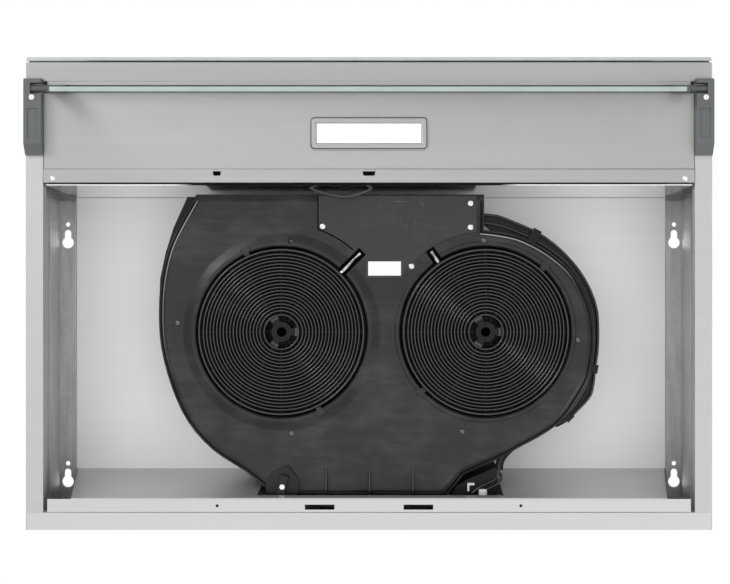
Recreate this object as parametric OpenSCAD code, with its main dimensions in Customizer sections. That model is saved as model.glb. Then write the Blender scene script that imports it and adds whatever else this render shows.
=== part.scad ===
// Shallow box range hood with an open underside, a twin-scroll blower and a fold-down glass visor.
// Millimetres. +X is right as seen from below, +Y is toward the wall, +Z is up.
// The origin is the centre of the four fixing holes, in the top face of the canopy.

/* [Canopy] */
// Width of the steel body
body_w = 759; // [740:1:790]
// Depth of the steel body
body_d = 517; // [510:1:560]
// Height of the steel body at the wall
body_h = 130; // [126:1:160]
// Height of the upright front face
front_h = 68; // [60:1:80]
// Depth of the closed compartment behind the front face
front_d = 135; // [130:1:140]
// Thickness of the sheet steel
sheet = 1; // [0.8:0.1:1.4]
// Width of the side flanges round the open underside
side_flange = 18; // [14:1:20]
// Width of the back flange
back_flange = 19; // [16:1:22]
// Width of the front strip in front of the visor
front_strip = 21; // [18:1:24]
// Height of the returns folded up along the flanges
return_h = 11; // [8:1:12]

/* [Fixing holes] */
// Distance between the front and back fixing holes
hole_pitch_y = 290; // [280:1:300]
// Distance from the back fixing holes to the back face
hole_back = 55; // [50:1:60]
// Distance from a fixing hole to the outer face of the side wall
hole_inset = 11.5; // [11:0.5:13]
// Diameter of a fixing hole
hole_d = 5.5; // [4:0.5:6.5]
// Diameter of the round end of a keyhole
key_d = 14; // [12:0.5:15]
// Width of the narrow end of a keyhole
key_slot_w = 8; // [6:0.5:9]
// Length of a keyhole from the centre of its round end
key_slot_l = 15.5; // [13:0.5:16]
// Distance from a fixing hole to the round end behind it
key_gap = 22; // [21:0.5:26]
// Width of a side rail
rail_w = 21; // [20:0.5:24]
// Depth of a side rail's leg
rail_leg = 45; // [30:1:55]

/* [Lamp] */
// Width of the lamp's bezel
lamp_w = 132; // [110:1:160]
// Depth of the lamp's bezel
lamp_d = 38; // [34:1:42]
// Corner radius of the bezel
lamp_r = 5; // [3:0.5:8]
// Border of the bezel round its lens
lamp_border = 8.5; // [7:0.5:10]

/* [Glass] */
// Thickness of the front glass
fascia_t = 4; // [3:0.5:5]
// Height of the front glass
fascia_h = 66; // [55:1:68]
// Gap between the front glass and the steel
fascia_gap = 2; // [1:0.5:3]
// Thickness of the visor glass
visor_t = 5; // [4:0.5:5]
// Reach of the visor glass from its hinge
visor_reach = 82; // [60:1:84]
// Lean of the hanging visor from upright, in degrees
visor_lean = 10; // [0:1:15]
// Radius of the visor's hinge pins
visor_pin_r = 2; // [1.5:0.1:2.5]

/* [Blower] */
// Distance between the two fan axes
fan_pitch = 230; // [228:1:234]
// Sideways place of the left fan axis
fan_x = -99; // [-102:1:-97]
// Depth place of both fan axes
fan_y = -18; // [-21:1:-15]
// Rise of the blower's lower face above the flanges
blower_rise = 29; // [27:1:36]
// Wall thickness of the blower's mouldings
wall = 2.5; // [2:0.1:3]
// Width of the seam flange between the two mouldings
seam = 5; // [4:0.5:6]
// Outer diameter of an impeller
impeller_d = 144; // [136:1:146]
// Blades on an impeller
blades = 36; // [30:1:40]
// Diameter of a fan inlet
inlet_d = 124; // [112:1:126]
// Diameter of a motor
motor_d = 72; // [60:1:74]
// Radius of a motor shaft
shaft_r = 4; // [3:0.5:5]
// Outer diameter of the outlet collar
collar_d = 150; // [140:1:150]
// Height of the outlet collar above the canopy
collar_h = 45; // [40:1:60]

/* [Carbon filters] */
// Diameter of a carbon filter
filter_d = 187; // [180:1:190]
// Depth of a carbon filter
filter_t = 21.7; // [19:0.1:22]
// Rings in a filter's grille
filter_rings = 19; // [15:1:21]
// Spokes in a filter's grille
filter_spokes = 12; // [8:1:14]
// Diameter of the well round a filter
dish_d = 193; // [191:0.5:194]
// Width of the raised collar round the left well
collar_slope = 15.5; // [14:0.5:16]
// Rise of the left collar above the lower face
collar_rise = 5; // [3:0.5:6]
// Width of the low collar round the right well
low_slope = 7; // [6:0.5:9]
// Rise of the right collar above the lower face
low_rise = 1.5; // [1:0.5:2.5]

/* [Mode knob] */
// Diameter of the knob's disc
knob_d = 38; // [34:1:40]
// Reach of the diverter vane
vane_reach = 58; // [45:1:60]

/* [Hidden] */
$fn = 64;

// Colours of the materials
steel_c = [0.77, 0.77, 0.76];
zinc_c = [0.62, 0.63, 0.63];
black_c = [0.15, 0.15, 0.16];
grey_c = [0.45, 0.46, 0.48];
glass_c = [0.80, 0.90, 0.87];
white_c = [0.93, 0.93, 0.92];
rubber_c = [0.10, 0.10, 0.10];
board_c = [0.18, 0.36, 0.24];
charcoal_c = [0.07, 0.07, 0.07];

// Clearances
eps = 0.01;
run_gap = 0.05;
loose_gap = 0.3;

// Places of the canopy's planes
half_w = body_w / 2;
back_y = hole_pitch_y / 2 + hole_back;
front_y = back_y - body_d;
bay_y = front_y + front_d;
floor_z = -body_h;
hole_x = half_w - hole_inset;
rail_in = half_w - sheet - rail_w;
return_x = half_w - side_flange;
rail_sheet = 1.5;

// Bay behind the lamp panel: its front wall and the rail at its back lean inward toward the top
bay_lean = 3.5;
rail_foot = back_y - back_flange - 15;
rail_lean = 14;
rail_top = rail_foot - rail_lean;

// Channel of the visor and the lamp panel
channel_w = 13;
channel_h = 16;
panel_front = front_y + front_strip + channel_w;
lip_d = 16;
lip_drop = 1.5;
panel_back = bay_y - 2;
lamp_y = (panel_front + panel_back - lip_d) / 2 + 3;
visor_axis = [0, panel_front - 4, floor_z - 4.5];
jaw_r = 4;
bracket_w = side_flange + 1.5;
bracket_l = 84;
bracket_h = 9.5;
bracket_front = visor_axis.y - 11;

// Levels of the blower, from the liner down to the filters' faces
liner_z = -2 * sheet;
face_z = floor_z + blower_rise;
seam_z = face_z + 5.5;
dish_z = face_z + 13;
fans = [[fan_x, fan_y], [fan_x + fan_pitch, fan_y]];
dish_r = dish_d / 2;
inlet_r = inlet_d / 2;
impeller_r = impeller_d / 2;
collar_r = collar_d / 2;
filter_r = filter_d / 2;
motor_r = motor_d / 2;

// Edges of the blower's outlet chamber
blower_front = bay_y + 8.4;
outlet_back = rail_foot + 4;
outlet_left = -80;
outlet_right = 86;
collar_c = [0, outlet_back - 3 - collar_r];
knob_c = [outlet_left - 18, outlet_back - 14];
knob_ear = 21;

// Unit vector along v
function unit(v) = v / norm(v);
// Point at the share t of the way from b to c on a smooth curve through a, b, c and d
function between(a, b, c, d, t) =
    0.5 * (2 * b + (c - a) * t + (2 * a - 5 * b + 4 * c - d) * t * t
    + (3 * b - a - 3 * c + d) * t * t * t);
// Smooth curve through the points p, with n steps between neighbours
function curve(p, n) = concat(
    [for (i = [0 : len(p) - 2], k = [0 : n - 1])
        between(p[max(i - 1, 0)], p[i], p[i + 1], p[min(i + 2, len(p) - 1)], k / n)],
    [p[len(p) - 1]]);
// Arc about c, from angle a0 to a1 in n steps
function arc(c, r, a0, a1, n) =
    [for (k = [0 : n]) let (a = a0 + (a1 - a0) * k / n) c + r * [cos(a), sin(a)]];
// Left-hand normal of the step from a to b
function side(a, b) = let (u = unit(b - a)) [-u.y, u.x];
// Closed outline p, counter-clockwise, moved inward by d
function inset(p, d) = let (n = len(p)) [
    for (i = [0 : n - 1])
        let (u = side(p[(i + n - 1) % n], p[i]), v = side(p[i], p[(i + 1) % n]), m = unit(u + v))
        p[i] + m * d / (m * u)
];
// Open path p moved to its left by d
function beside(p, d) = let (n = len(p)) [
    for (i = [0 : n - 1])
        let (u = side(p[max(i - 1, 0)], p[max(i, 1)]), v = side(p[min(i, n - 2)], p[min(i + 1, n - 1)]),
             m = unit(u + v))
        p[i] + m * d / (m * u)
];
// Section of a sheet of thickness t folded along the path p, the sheet on the path's left
function folded(p, t) = let (q = beside(p, t), n = len(p))
    concat(p, [for (i = [n - 1 : -1 : 0]) q[i]]);
// Rounded rectangle of size w by d with the corner radius r, as points
function round_rect(w, d, r, n) = [
    for (q = [0 : 3], k = [0 : n])
        let (a = 90 * q + 90 * k / n, sx = (q == 0 || q == 3) ? 1 : -1, sy = (q < 2) ? 1 : -1)
        [sx * (w / 2 - r) + r * cos(a), sy * (d / 2 - r) + r * sin(a)]
];
// The outline p lifted to the height z
function lifted(p, z) = [for (q = p) [q.x, q.y, z]];

// Solid between rings of points, from the lowest to the highest
module loft(rings) {
    n = len(rings[0]);
    m = len(rings);
    polyhedron([for (r = rings) each r], concat(
        [[for (i = [0 : n - 1]) i]],
        [for (j = [0 : m - 2], i = [0 : n - 1]) [j * n + i, (j + 1) * n + i, (j + 1) * n + (i + 1) % n]],
        [for (j = [0 : m - 2], i = [0 : n - 1]) [j * n + i, (j + 1) * n + (i + 1) % n, j * n + (i + 1) % n]],
        [[for (i = [n - 1 : -1 : 0]) (m - 1) * n + i]]), convexity = 6);
}
// Closed band whose section runs through the rings in turn and back to the first
module band(rings) {
    n = len(rings[0]);
    m = len(rings);
    polyhedron([for (r = rings) each r], [
        for (j = [0 : m - 1], i = [0 : n - 1]) let (k = (j + 1) % m, l = (i + 1) % n)
            each [[j * n + i, k * n + i, k * n + l], [j * n + i, k * n + l, j * n + l]]], convexity = 6);
}
// Closed section in the Y-Z plane, carried along X from x0 to x1
module along_x(section, x0, x1) {
    translate([x0, 0, 0]) rotate([90, 0, 90]) linear_extrude(x1 - x0) polygon(section);
}
// Box between two corners
module block(a, b) {
    translate(a) cube(b - a);
}
// Children here and mirrored to the other side
module both_sides() {
    children();
    mirror([1, 0, 0]) children();
}
// Children at each fan axis
module at_fans() {
    for (f = fans) translate([f.x, f.y, 0]) children();
}
// Ring between two radii and two heights
module ring(r0, r1, z0, z1) {
    rotate_extrude($fn = 96) translate([r0, z0]) square([r1 - r0, z1 - z0]);
}
// Round tube with the radius r along the points p
module tube(p, r) {
    sides = 8;
    n = len(p);
    rings = [for (i = [0 : n - 1])
        let (t = unit(p[min(i + 1, n - 1)] - p[max(i - 1, 0)]), s = unit(cross(t, [0, 0, 1])),
             u = cross(s, t))
        [for (k = [0 : sides - 1]) let (a = 360 * k / sides) p[i] + r * (s * cos(a) + u * sin(a))]];
    polyhedron([for (q = rings) each q], concat(
        [[for (i = [0 : sides - 1]) i]],
        [for (j = [0 : n - 2], i = [0 : sides - 1])
            each [[j * sides + i, (j + 1) * sides + i, (j + 1) * sides + (i + 1) % sides],
                  [j * sides + i, (j + 1) * sides + (i + 1) % sides, j * sides + (i + 1) % sides]]],
        [[for (i = [sides - 1 : -1 : 0]) (n - 1) * sides + i]]), convexity = 8);
}

// Height of the front edge of the sloped roof, and the fold of its sheet over the flat top
roof_z = front_h - body_h;
roof_fold = 12;

// Holes for one fixing point: a small round hole and the keyhole behind it
module fixing_point() {
    translate([0, 0, -rail_leg / 2]) {
        cylinder(d = hole_d, h = rail_leg, $fn = 32);
        translate([0, key_gap, 0]) {
            cylinder(d = key_d, h = rail_leg, $fn = 48);
            translate([0, key_slot_w / 2 - key_slot_l, 0]) cylinder(d = key_slot_w, h = rail_leg, $fn = 32);
            translate([-key_slot_w / 2, key_slot_w / 2 - key_slot_l, 0])
                cube([key_slot_w, key_slot_l - key_slot_w / 2, rail_leg]);
        }
    }
}
module fixing_points() {
    for (x = [-hole_x, hole_x], y = [-hole_pitch_y / 2, hole_pitch_y / 2])
        translate([x, y, 0]) fixing_point();
}

gland_c = [half_w - 120, back_y - 22];
gland_r = 8;

// Flat top between the side walls
module canopy_top() {
    color(steel_c) difference() {
        block([sheet - half_w, bay_y + roof_fold, -sheet], [half_w - sheet, back_y - sheet, 0]);
        fixing_points();
        translate([collar_c.x, collar_c.y, -5]) cylinder(r = collar_r + loose_gap, h = 10, $fn = 96);
        translate([gland_c.x, gland_c.y, -5]) cylinder(r = gland_r, h = 10, $fn = 32);
    }
}
// Sloped roof, upright front and the strip under it, folded from one sheet
module canopy_front() {
    strip_y = front_y + front_strip;
    color(steel_c) along_x(folded([[bay_y + roof_fold, 0], [bay_y, 0], [front_y, roof_z], [front_y, floor_z],
        [strip_y, floor_z], [strip_y, floor_z + channel_h]], sheet), sheet - half_w, half_w - sheet);
}
// Back wall and its flange, folded from one sheet
module canopy_back() {
    flange_y = back_y - back_flange;
    color(steel_c) along_x(folded([[flange_y, floor_z + return_h], [flange_y, floor_z], [back_y, floor_z],
        [back_y, 0]], sheet), sheet - half_w, half_w - sheet);
}
// Side wall with its flange and return
module canopy_side() {
    along_x([[back_y, 0], [back_y, floor_z], [front_y, floor_z], [front_y, roof_z], [bay_y, 0]],
            half_w - sheet, half_w);
    block([return_x, front_y + front_strip, floor_z], [half_w - eps, back_y - back_flange, floor_z + sheet]);
    block([return_x - sheet, front_y + front_strip, floor_z],
          [return_x, back_y - back_flange, floor_z + return_h]);
}
module canopy_side_right() {
    color(steel_c) canopy_side();
}
module canopy_side_left() {
    color(steel_c) mirror([1, 0, 0]) canopy_side();
}

// Galvanised angle under the top and down the side wall, with the same fixing holes
module side_rail() {
    difference() {
        union() {
            block([rail_in + loose_gap, bay_y + 8, -sheet - rail_sheet],
                  [half_w - sheet, back_y - sheet, -sheet]);
            block([half_w - sheet - rail_sheet, bay_y + 8, -sheet - rail_leg],
                  [half_w - sheet, back_y - sheet, -sheet]);
        }
        fixing_points();
        for (y = [bay_y + 80, bay_y + 200, back_y - 70, back_y - 12])
            translate([half_w - sheet - rail_sheet - 0.5, y, -sheet - rail_leg * 0.76]) rotate([0, 90, 0])
                cylinder(r1 = 3, r2 = 1.6, h = 1.2, $fn = 24);
    }
}
module side_rail_right() {
    color(zinc_c) side_rail();
}
module side_rail_left() {
    color(zinc_c) mirror([1, 0, 0]) side_rail();
}

wire_holes = [-76, 8];
wire_z = floor_z + 30;

// Bright inner lining: the ceiling of the bay, and its leaning front wall
module bay_ceiling() {
    color(steel_c) difference() {
        block([-rail_in, bay_y + bay_lean + sheet + loose_gap, liner_z],
              [rail_in, rail_top - loose_gap, -sheet]);
        translate([collar_c.x, collar_c.y, -5]) cylinder(r = collar_r + loose_gap, h = 10, $fn = 96);
    }
}
module bay_front() {
    color(steel_c) difference() {
        along_x(folded([[bay_y + bay_lean, -sheet], [bay_y, floor_z]], sheet), -rail_in, rail_in);
        for (x = wire_holes) translate([x, bay_y - 5, wire_z]) rotate([-90, 0, 0])
            cylinder(r = 3, h = 15, $fn = 24);
    }
}

lip_slot_x = 54.6;
lip_slot_w = 32.6;
lip_slot_d = 5.5;

// Leaning panel across the back of the bay, cut out for the blower
rear_half = rail_in - 1.5;
module rear_rail() {
    color(steel_c) difference() {
        intersection() {
            along_x(folded([[rail_foot, -sheet], [rail_top, -sheet], [rail_foot, floor_z + sheet]], sheet),
                    -rear_half, rear_half);
            translate([0, rail_top - 20, 0]) rotate([-90, 0, 0]) linear_extrude(80) union() {
                translate([-rear_half, 12]) square([2 * rear_half, body_h + 10]);
                translate([-rear_half + 12, -1]) square([2 * rear_half - 24, 20]);
                for (s = [-1, 1]) translate([s * (rear_half - 12), 12]) circle(r = 12, $fn = 48);
            }
        }
        block([knob_c.x - 27, rail_top - 10, floor_z + 12], [outlet_right + 64, rail_foot + 12, 1]);
        for (s = [-1, 1])
            block([s * 157 - 3.5, rail_top - 10, -12], [s * 157 + 3.5, rail_foot + 5, -8.5]);
    }
}
// Flat lip at the foot of the rear panel, with slots for the filters' tabs
module filter_lip() {
    lip_y = (rail_foot + back_y - back_flange) / 2 + 1.5;
    color(steel_c) difference() {
        block([-rear_half, rail_foot, floor_z], [rear_half, back_y - back_flange - 0.5, floor_z + sheet]);
        for (s = [-1, 1]) {
            block([s * lip_slot_x - lip_slot_w / 2, lip_y - lip_slot_d / 2, floor_z - 1],
                  [s * lip_slot_x + lip_slot_w / 2, lip_y + lip_slot_d / 2, floor_z + 4]);
            translate([s * 168, lip_y - 1.5, floor_z - 1]) cylinder(r = 1.6, h = 4, $fn = 24);
        }
    }
}

lamp_cut = [lamp_w - 8, lamp_d - 8];
rivet_x = half_w - 30;
rivet_y = panel_back - lip_d * 0.28;
notches = [[-168, 9.5], [0, 14.5]];

// Underside of the front compartment, with the visor's channel in front and the filters' lip behind
module lamp_panel() {
    edge = return_x - sheet - 0.7;
    color(steel_c) difference() {
        union() {
            along_x(folded([[front_y + front_strip, floor_z + channel_h - sheet],
                            [panel_front, floor_z + channel_h - sheet], [panel_front, floor_z],
                            [panel_back - lip_d, floor_z], [panel_back - lip_d + 2, floor_z - lip_drop],
                            [panel_back, floor_z - lip_drop], [panel_back, floor_z + return_h]], sheet),
                    -edge, edge);
            both_sides() block([edge - sheet, panel_front + eps, floor_z + eps],
                               [edge, panel_back - lip_d, floor_z + return_h]);
        }
        translate([-lamp_cut.x / 2, lamp_y - lamp_cut.y / 2, floor_z - 2]) cube([lamp_cut.x, lamp_cut.y, 6]);
        for (s = [-1, 1]) translate([s * rivet_x, rivet_y, floor_z - 4])
            cylinder(r = 1.6 + run_gap, h = 8, $fn = 24);
        for (n = notches) translate([n.x, panel_back - lip_d * 0.62, floor_z - 4]) linear_extrude(6)
            polygon([[-n.y / 2, -2.4], [n.y / 2, -2.4], [n.y / 2 - 1.2, 2.4], [-n.y / 2 + 1.2, 2.4]]);
    }
}

module glass_fascia() {
    color(glass_c) block([-half_w, front_y - fascia_gap - fascia_t, floor_z],
                         [half_w, front_y - fascia_gap, floor_z + fascia_h]);
}

// Two dark strips that hold the glass on the steel
module fascia_pads() {
    color(black_c) for (z = [floor_z + 2, floor_z + fascia_h - 12])
        block([3 - half_w, front_y - fascia_gap, z], [half_w - 3, front_y, z + 10]);
}

carrier_w = 220;
carrier_z = floor_z + 16;
carrier_h = 40;

// Tray behind the front wall that holds the touch control's board
module board_carrier() {
    color(black_c) difference() {
        block([-carrier_w / 2, front_y + sheet, carrier_z],
              [carrier_w / 2, front_y + sheet + 12, carrier_z + carrier_h]);
        block([-carrier_w / 2 + wall, front_y + sheet + wall, carrier_z + wall],
              [carrier_w / 2 - wall, front_y + sheet + 13, carrier_z + carrier_h - wall]);
    }
}
module control_board() {
    y = front_y + sheet + wall;
    color(board_c) {
        block([-carrier_w / 2 + wall + 0.5, y + 3, carrier_z + wall + 0.5],
              [carrier_w / 2 - wall - 0.5, y + 4.6, carrier_z + carrier_h - wall - 0.5]);
        for (x = [-80, -40, 0, 40, 80]) translate([x, y, carrier_z + carrier_h / 2]) rotate([-90, 0, 0])
            cylinder(r = 5, h = 3, $fn = 32);
        block([-95, y + 4.6, carrier_z + 8], [-65, y + 9, carrier_z + 30]);
    }
}

capacitor_r = 14;
capacitor_l = 60;
capacitor_at = [150, front_y + sheet, floor_z + 24];
capacitor_base = [70, 3, 28];

// Motor capacitor on its base behind the front wall
module motor_capacitor() {
    color(grey_c) translate(capacitor_at) {
        cube(capacitor_base);
        translate([(capacitor_base.x - capacitor_l) / 2, capacitor_base.y + capacitor_r - 1,
                   capacitor_base.z / 2])
            rotate([0, 90, 0]) cylinder(r = capacitor_r, h = capacitor_l, $fn = 48);
    }
}

bezel_t = 1.2;

// Bevelled bezel with a sleeve that drops through the panel's opening
module lamp_bezel() {
    outer = round_rect(lamp_w, lamp_d, lamp_r, 6);
    color(steel_c) translate([0, lamp_y, floor_z]) difference() {
        union() {
            loft([lifted(inset(outer, 2), -bezel_t), lifted(outer, -0.3), lifted(outer, 0)]);
            translate([-lamp_cut.x / 2 + loose_gap, -lamp_cut.y / 2 + loose_gap, -0.2])
                cube([lamp_cut.x - 2 * loose_gap, lamp_cut.y - 2 * loose_gap, 6]);
        }
        translate([-lamp_w / 2 + lamp_border, -lamp_d / 2 + lamp_border, -5])
            cube([lamp_w - 2 * lamp_border, lamp_d - 2 * lamp_border, 6]);
        translate([-lamp_w / 2 + lamp_border - 1.5, -lamp_d / 2 + lamp_border - 1.5, 0.6])
            cube([lamp_w - 2 * lamp_border + 3, lamp_d - 2 * lamp_border + 3, 8]);
    }
}
module lamp_lens() {
    w = lamp_w - 2 * lamp_border;
    d = lamp_d - 2 * lamp_border;
    color(white_c) translate([0, lamp_y, floor_z]) {
        translate([-w / 2 + 0.1, -d / 2 + 0.1, -0.6]) cube([w - 0.2, d - 0.2, 1.4]);
        translate([-w / 2 - 1.3, -d / 2 - 1.3, 0.6]) cube([w + 2.6, d + 2.6, 1.4]);
    }
}
module led_board() {
    w = lamp_w - 2 * lamp_border;
    d = lamp_d - 2 * lamp_border;
    color(board_c) translate([0, lamp_y, floor_z]) {
        translate([-w / 2 - 1.3, -d / 2 - 1.3, 4]) cube([w + 2.6, d + 2.6, 1.6]);
        for (k = [-5 : 5]) translate([k * w / 12 - 2, -2, 2.9]) cube([4, 4, 1.2]);
        for (s = [-1, 1]) translate([s * (w / 2 - 1) - 2, -d / 2, 2]) cube([4, d, 2.1]);
    }
}

// Places the visor's parts: children are drawn hanging from the hinge axis
module visor_frame() {
    translate(visor_axis) rotate([visor_lean, 0, 0]) children();
}
visor_inset = 38;
visor_end = half_w - visor_inset;

module visor_glass() {
    color(glass_c) visor_frame()
        block([-visor_end, -visor_t / 2, -visor_reach], [visor_end, visor_t / 2, -jaw_r - 0.5]);
}
// Barrel with its pin, and two leaves that clamp the end of the glass
module visor_jaw() {
    leaf = 1.2;
    cheek = return_x - 1.5 + 12;
    visor_frame() {
        translate([visor_end - 8, 0, 0]) rotate([0, 90, 0])
            cylinder(r = jaw_r, h = cheek - visor_end + 8, $fn = 48);
        translate([cheek - 1, 0, 0]) rotate([0, 90, 0]) cylinder(r = visor_pin_r, h = 6, $fn = 32);
        for (s = [-1, 1]) translate([visor_end - 8, s * (visor_t / 2 + leaf / 2) - leaf / 2, -20])
            cube([16, leaf, 19]);
        block([visor_end + 0.1, -visor_t / 2 - leaf, -20], [visor_end + 8, visor_t / 2 + leaf, -1]);
    }
}
module visor_jaw_right() {
    color(zinc_c) visor_jaw();
}
module visor_jaw_left() {
    color(zinc_c) mirror([1, 0, 0]) visor_jaw();
}

bracket_screw_y = visor_axis.y + 10;
bracket_screw_x = half_w - 9;

// Moulded bracket under the flange: a pocket for the jaw's barrel and a bore in its outer cheek
module hinge_bracket() {
    in_x = return_x - 1.5;
    back = bracket_front + bracket_l;
    difference() {
        along_x([[bracket_front, floor_z], [bracket_front, floor_z - bracket_h + 2],
                 [bracket_front + 2, floor_z - bracket_h], [back - 12, floor_z - bracket_h],
                 [back, floor_z - 2.5], [back, floor_z]], in_x, half_w);
        block([in_x - 1, visor_axis.y - 6, floor_z - bracket_h - 1],
              [in_x + 12.3, visor_axis.y + 6, floor_z + 1]);
        translate([in_x, visor_axis.y, visor_axis.z]) rotate([0, 90, 0])
            cylinder(r = visor_pin_r + run_gap, h = bracket_w - 1.5, $fn = 32);
        translate([bracket_screw_x, bracket_screw_y, floor_z - bracket_h - 1]) {
            cylinder(r = 3.4, h = 3, $fn = 32);
            cylinder(r = 2 + run_gap, h = bracket_h + 2, $fn = 32);
        }
        block([in_x + 4, bracket_screw_y + 12, floor_z - bracket_h - 1],
              [half_w - 4, back - 18, floor_z - bracket_h + 1]);
    }
}
module hinge_bracket_right() {
    color(grey_c) hinge_bracket();
}
module hinge_bracket_left() {
    color(grey_c) mirror([1, 0, 0]) hinge_bracket();
}
// Screws of the brackets, and round-headed rivets through the lamp panel's lip
module bracket_screws() {
    z = floor_z - bracket_h;
    color(zinc_c) both_sides() translate([bracket_screw_x, bracket_screw_y, z]) difference() {
        union() {
            cylinder(r = 3, h = 2, $fn = 32);
            cylinder(r = 2, h = bracket_h, $fn = 24);
        }
        translate([-0.4, -2, -1]) cube([0.8, 4, 2]);
    }
    color(zinc_c) both_sides() translate([rivet_x, rivet_y, floor_z - lip_drop]) {
        translate([0, 0, -0.9]) cylinder(r1 = 2, r2 = 3.2, h = 0.9, $fn = 32);
        cylinder(r = 1.6, h = 3, $fn = 24);
    }
}

// Edges of the blower's outline, clockwise places chosen by eye along each lobe
right_edge = [[130, -133.5], [143, -132], [168, -127], [191, -116.5], [209, -105], [229, -87.5],
              [242, -66], [251, -44], [254.5, -21], [254.5, 1], [252, 18], [248.5, 35], [238, 55],
              [220, 81], [198, 98], [168, 114.5], [148, 125.5], [107, 144]];
left_edge = [[-131, outlet_back - 22], [-144, 138.5], [-178, 116], [-206, 84.5], [-224.5, 45], [-236.5, 0],
             [-239, -42], [-236.4, -77], [-229, -110], [-218.5, -134], [-205.5, -157.5]];
outline = concat(
    [[130, blower_front]], curve(right_edge, 3), [[outlet_right, outlet_back]],
    arc(knob_c, knob_ear, 41, 175, 10), curve(left_edge, 3), [[-196.5, blower_front]]);
// Wider part of the upper moulding's seam flange at the front left
left_ledge = [[-234, -50], [-238.5, -55], [-237.8, -78], [-231.5, -108], [-222.5, -136], [-216, -150.5],
              [-206.8, -171], [-188, -171]];

// Scroll: the wall's distance from the fan axis grows steadily with the angle a from its tongue
tongue_r = impeller_r + 7;
function scroll_r(grow, a) = tongue_r * exp(grow * a * PI / 180);
// Rib of the scroll about the fan c, turning toward side s, from the tongue through the angle a1
function scroll_rib(c, s, grow, a1, n) = concat(
    [for (k = [0 : n]) let (a = a1 * k / n) c + scroll_r(grow, a) * [s * cos(a), -sin(a)]],
    [for (k = [n : -1 : 0]) let (a = a1 * k / n) c + (scroll_r(grow, a) + wall) * [s * cos(a), -sin(a)]]);
left_grow = 0.159;
right_grow = 0.118;

// Wedge between the two tongues, where the two air streams meet
wedge = [[fans[0].x + tongue_r, fan_y - 4], [fans[0].x + tongue_r + wall, fan_y],
         [fan_x + fan_pitch / 2 - 4, fan_y + 66], [fan_x + fan_pitch / 2 + 4, fan_y + 66],
         [fans[1].x - tongue_r - wall, fan_y], [fans[1].x - tongue_r, fan_y - 4]];

module blower_housing() {
    color(black_c) difference() {
        union() {
            translate([0, 0, seam_z]) linear_extrude(liner_z - seam_z) polygon(inset(outline, seam));
            translate([0, 0, seam_z]) linear_extrude(wall) polygon(outline);
            translate([0, 0, seam_z]) linear_extrude(wall) polygon(left_ledge);
            translate([0, 0, cable_z + cable_r + 0.2]) linear_extrude(wall) polygon(cable_shelf);
        }
        difference() {
            translate([0, 0, seam_z - 1]) linear_extrude(liner_z - seam_z + 1 - wall)
                polygon(inset(outline, seam + wall));
            difference() {
                translate([0, 0, seam_z]) linear_extrude(liner_z - seam_z) {
                    polygon(scroll_rib(fans[0], 1, left_grow, 178, 24));
                    polygon(scroll_rib(fans[1], -1, right_grow, 178, 24));
                    polygon(wedge);
                }
                at_fans() translate([0, 0, seam_z - 1])
                    cylinder(r = dish_r + 2.2 + loose_gap, h = dish_z + wall - seam_z + 1, $fn = 96);
            }
        }
        translate([collar_c.x, collar_c.y, liner_z - wall - 1])
            cylinder(r = collar_r - wall, h = wall + 2, $fn = 96);
        block([knob_c.x + 14, outlet_back - seam - wall - 1, seam_z + 14],
              [knob_c.x + vane_reach - 6, outlet_back - seam + 1, liner_z - 14]);
        translate([knob_c.x, knob_c.y, liner_z - wall - 1]) cylinder(r = 3 + run_gap, h = 2, $fn = 32);
        for (c = screw_places) translate([c.x, c.y, seam_z - 1]) cylinder(r = 1.5 + run_gap, h = 8, $fn = 24);
    }
    color(black_c) for (c = screw_places) translate([c.x, c.y, seam_z]) difference() {
        cylinder(r = 4, h = liner_z - wall - seam_z, $fn = 32);
        translate([0, 0, -1]) cylinder(r = 1.5 + run_gap, h = 8, $fn = 24);
    }
}

// Screws of the lower cover, each into a post of the housing
screw_places = [[-88.6, -120.5], [129.4, -121], [235.6, -9], [-88, 97], [-217, -28], [105, 95]];

// Raised collar, well and bell-mouth of one fan inlet
module inlet_dish(slope, rise) {
    base_r = dish_r + slope;
    top_z = face_z - rise;
    rotate_extrude($fn = 96) polygon(concat(
        [[base_r, face_z + wall], [base_r, face_z], [base_r - 1.5, face_z - 0.5], [dish_r + 5, top_z],
         [dish_r + 1.5, top_z - 0.4], [dish_r, top_z + 0.6], [dish_r - 1, dish_z - 1], [dish_r - 2, dish_z]],
        [[inlet_r + 8, dish_z]], arc([inlet_r + 8, dish_z + 8], 8, 270, 180, 8),
        [[inlet_r + wall * 0.7, dish_z + 9]], arc([inlet_r + 8, dish_z + 8], 8 - wall, 180, 270, 6),
        [[dish_r - 0.5, dish_z + wall], [dish_r + 1.5, dish_z - 0.6], [dish_r + 2.2, face_z + wall]]));
}

clip_slot_d = 1.3;
screw_seat = 0.6;
rim_w = seam + wall + 2.5;
catch_angles = [[-114, 64], [-48, 137]];

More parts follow.
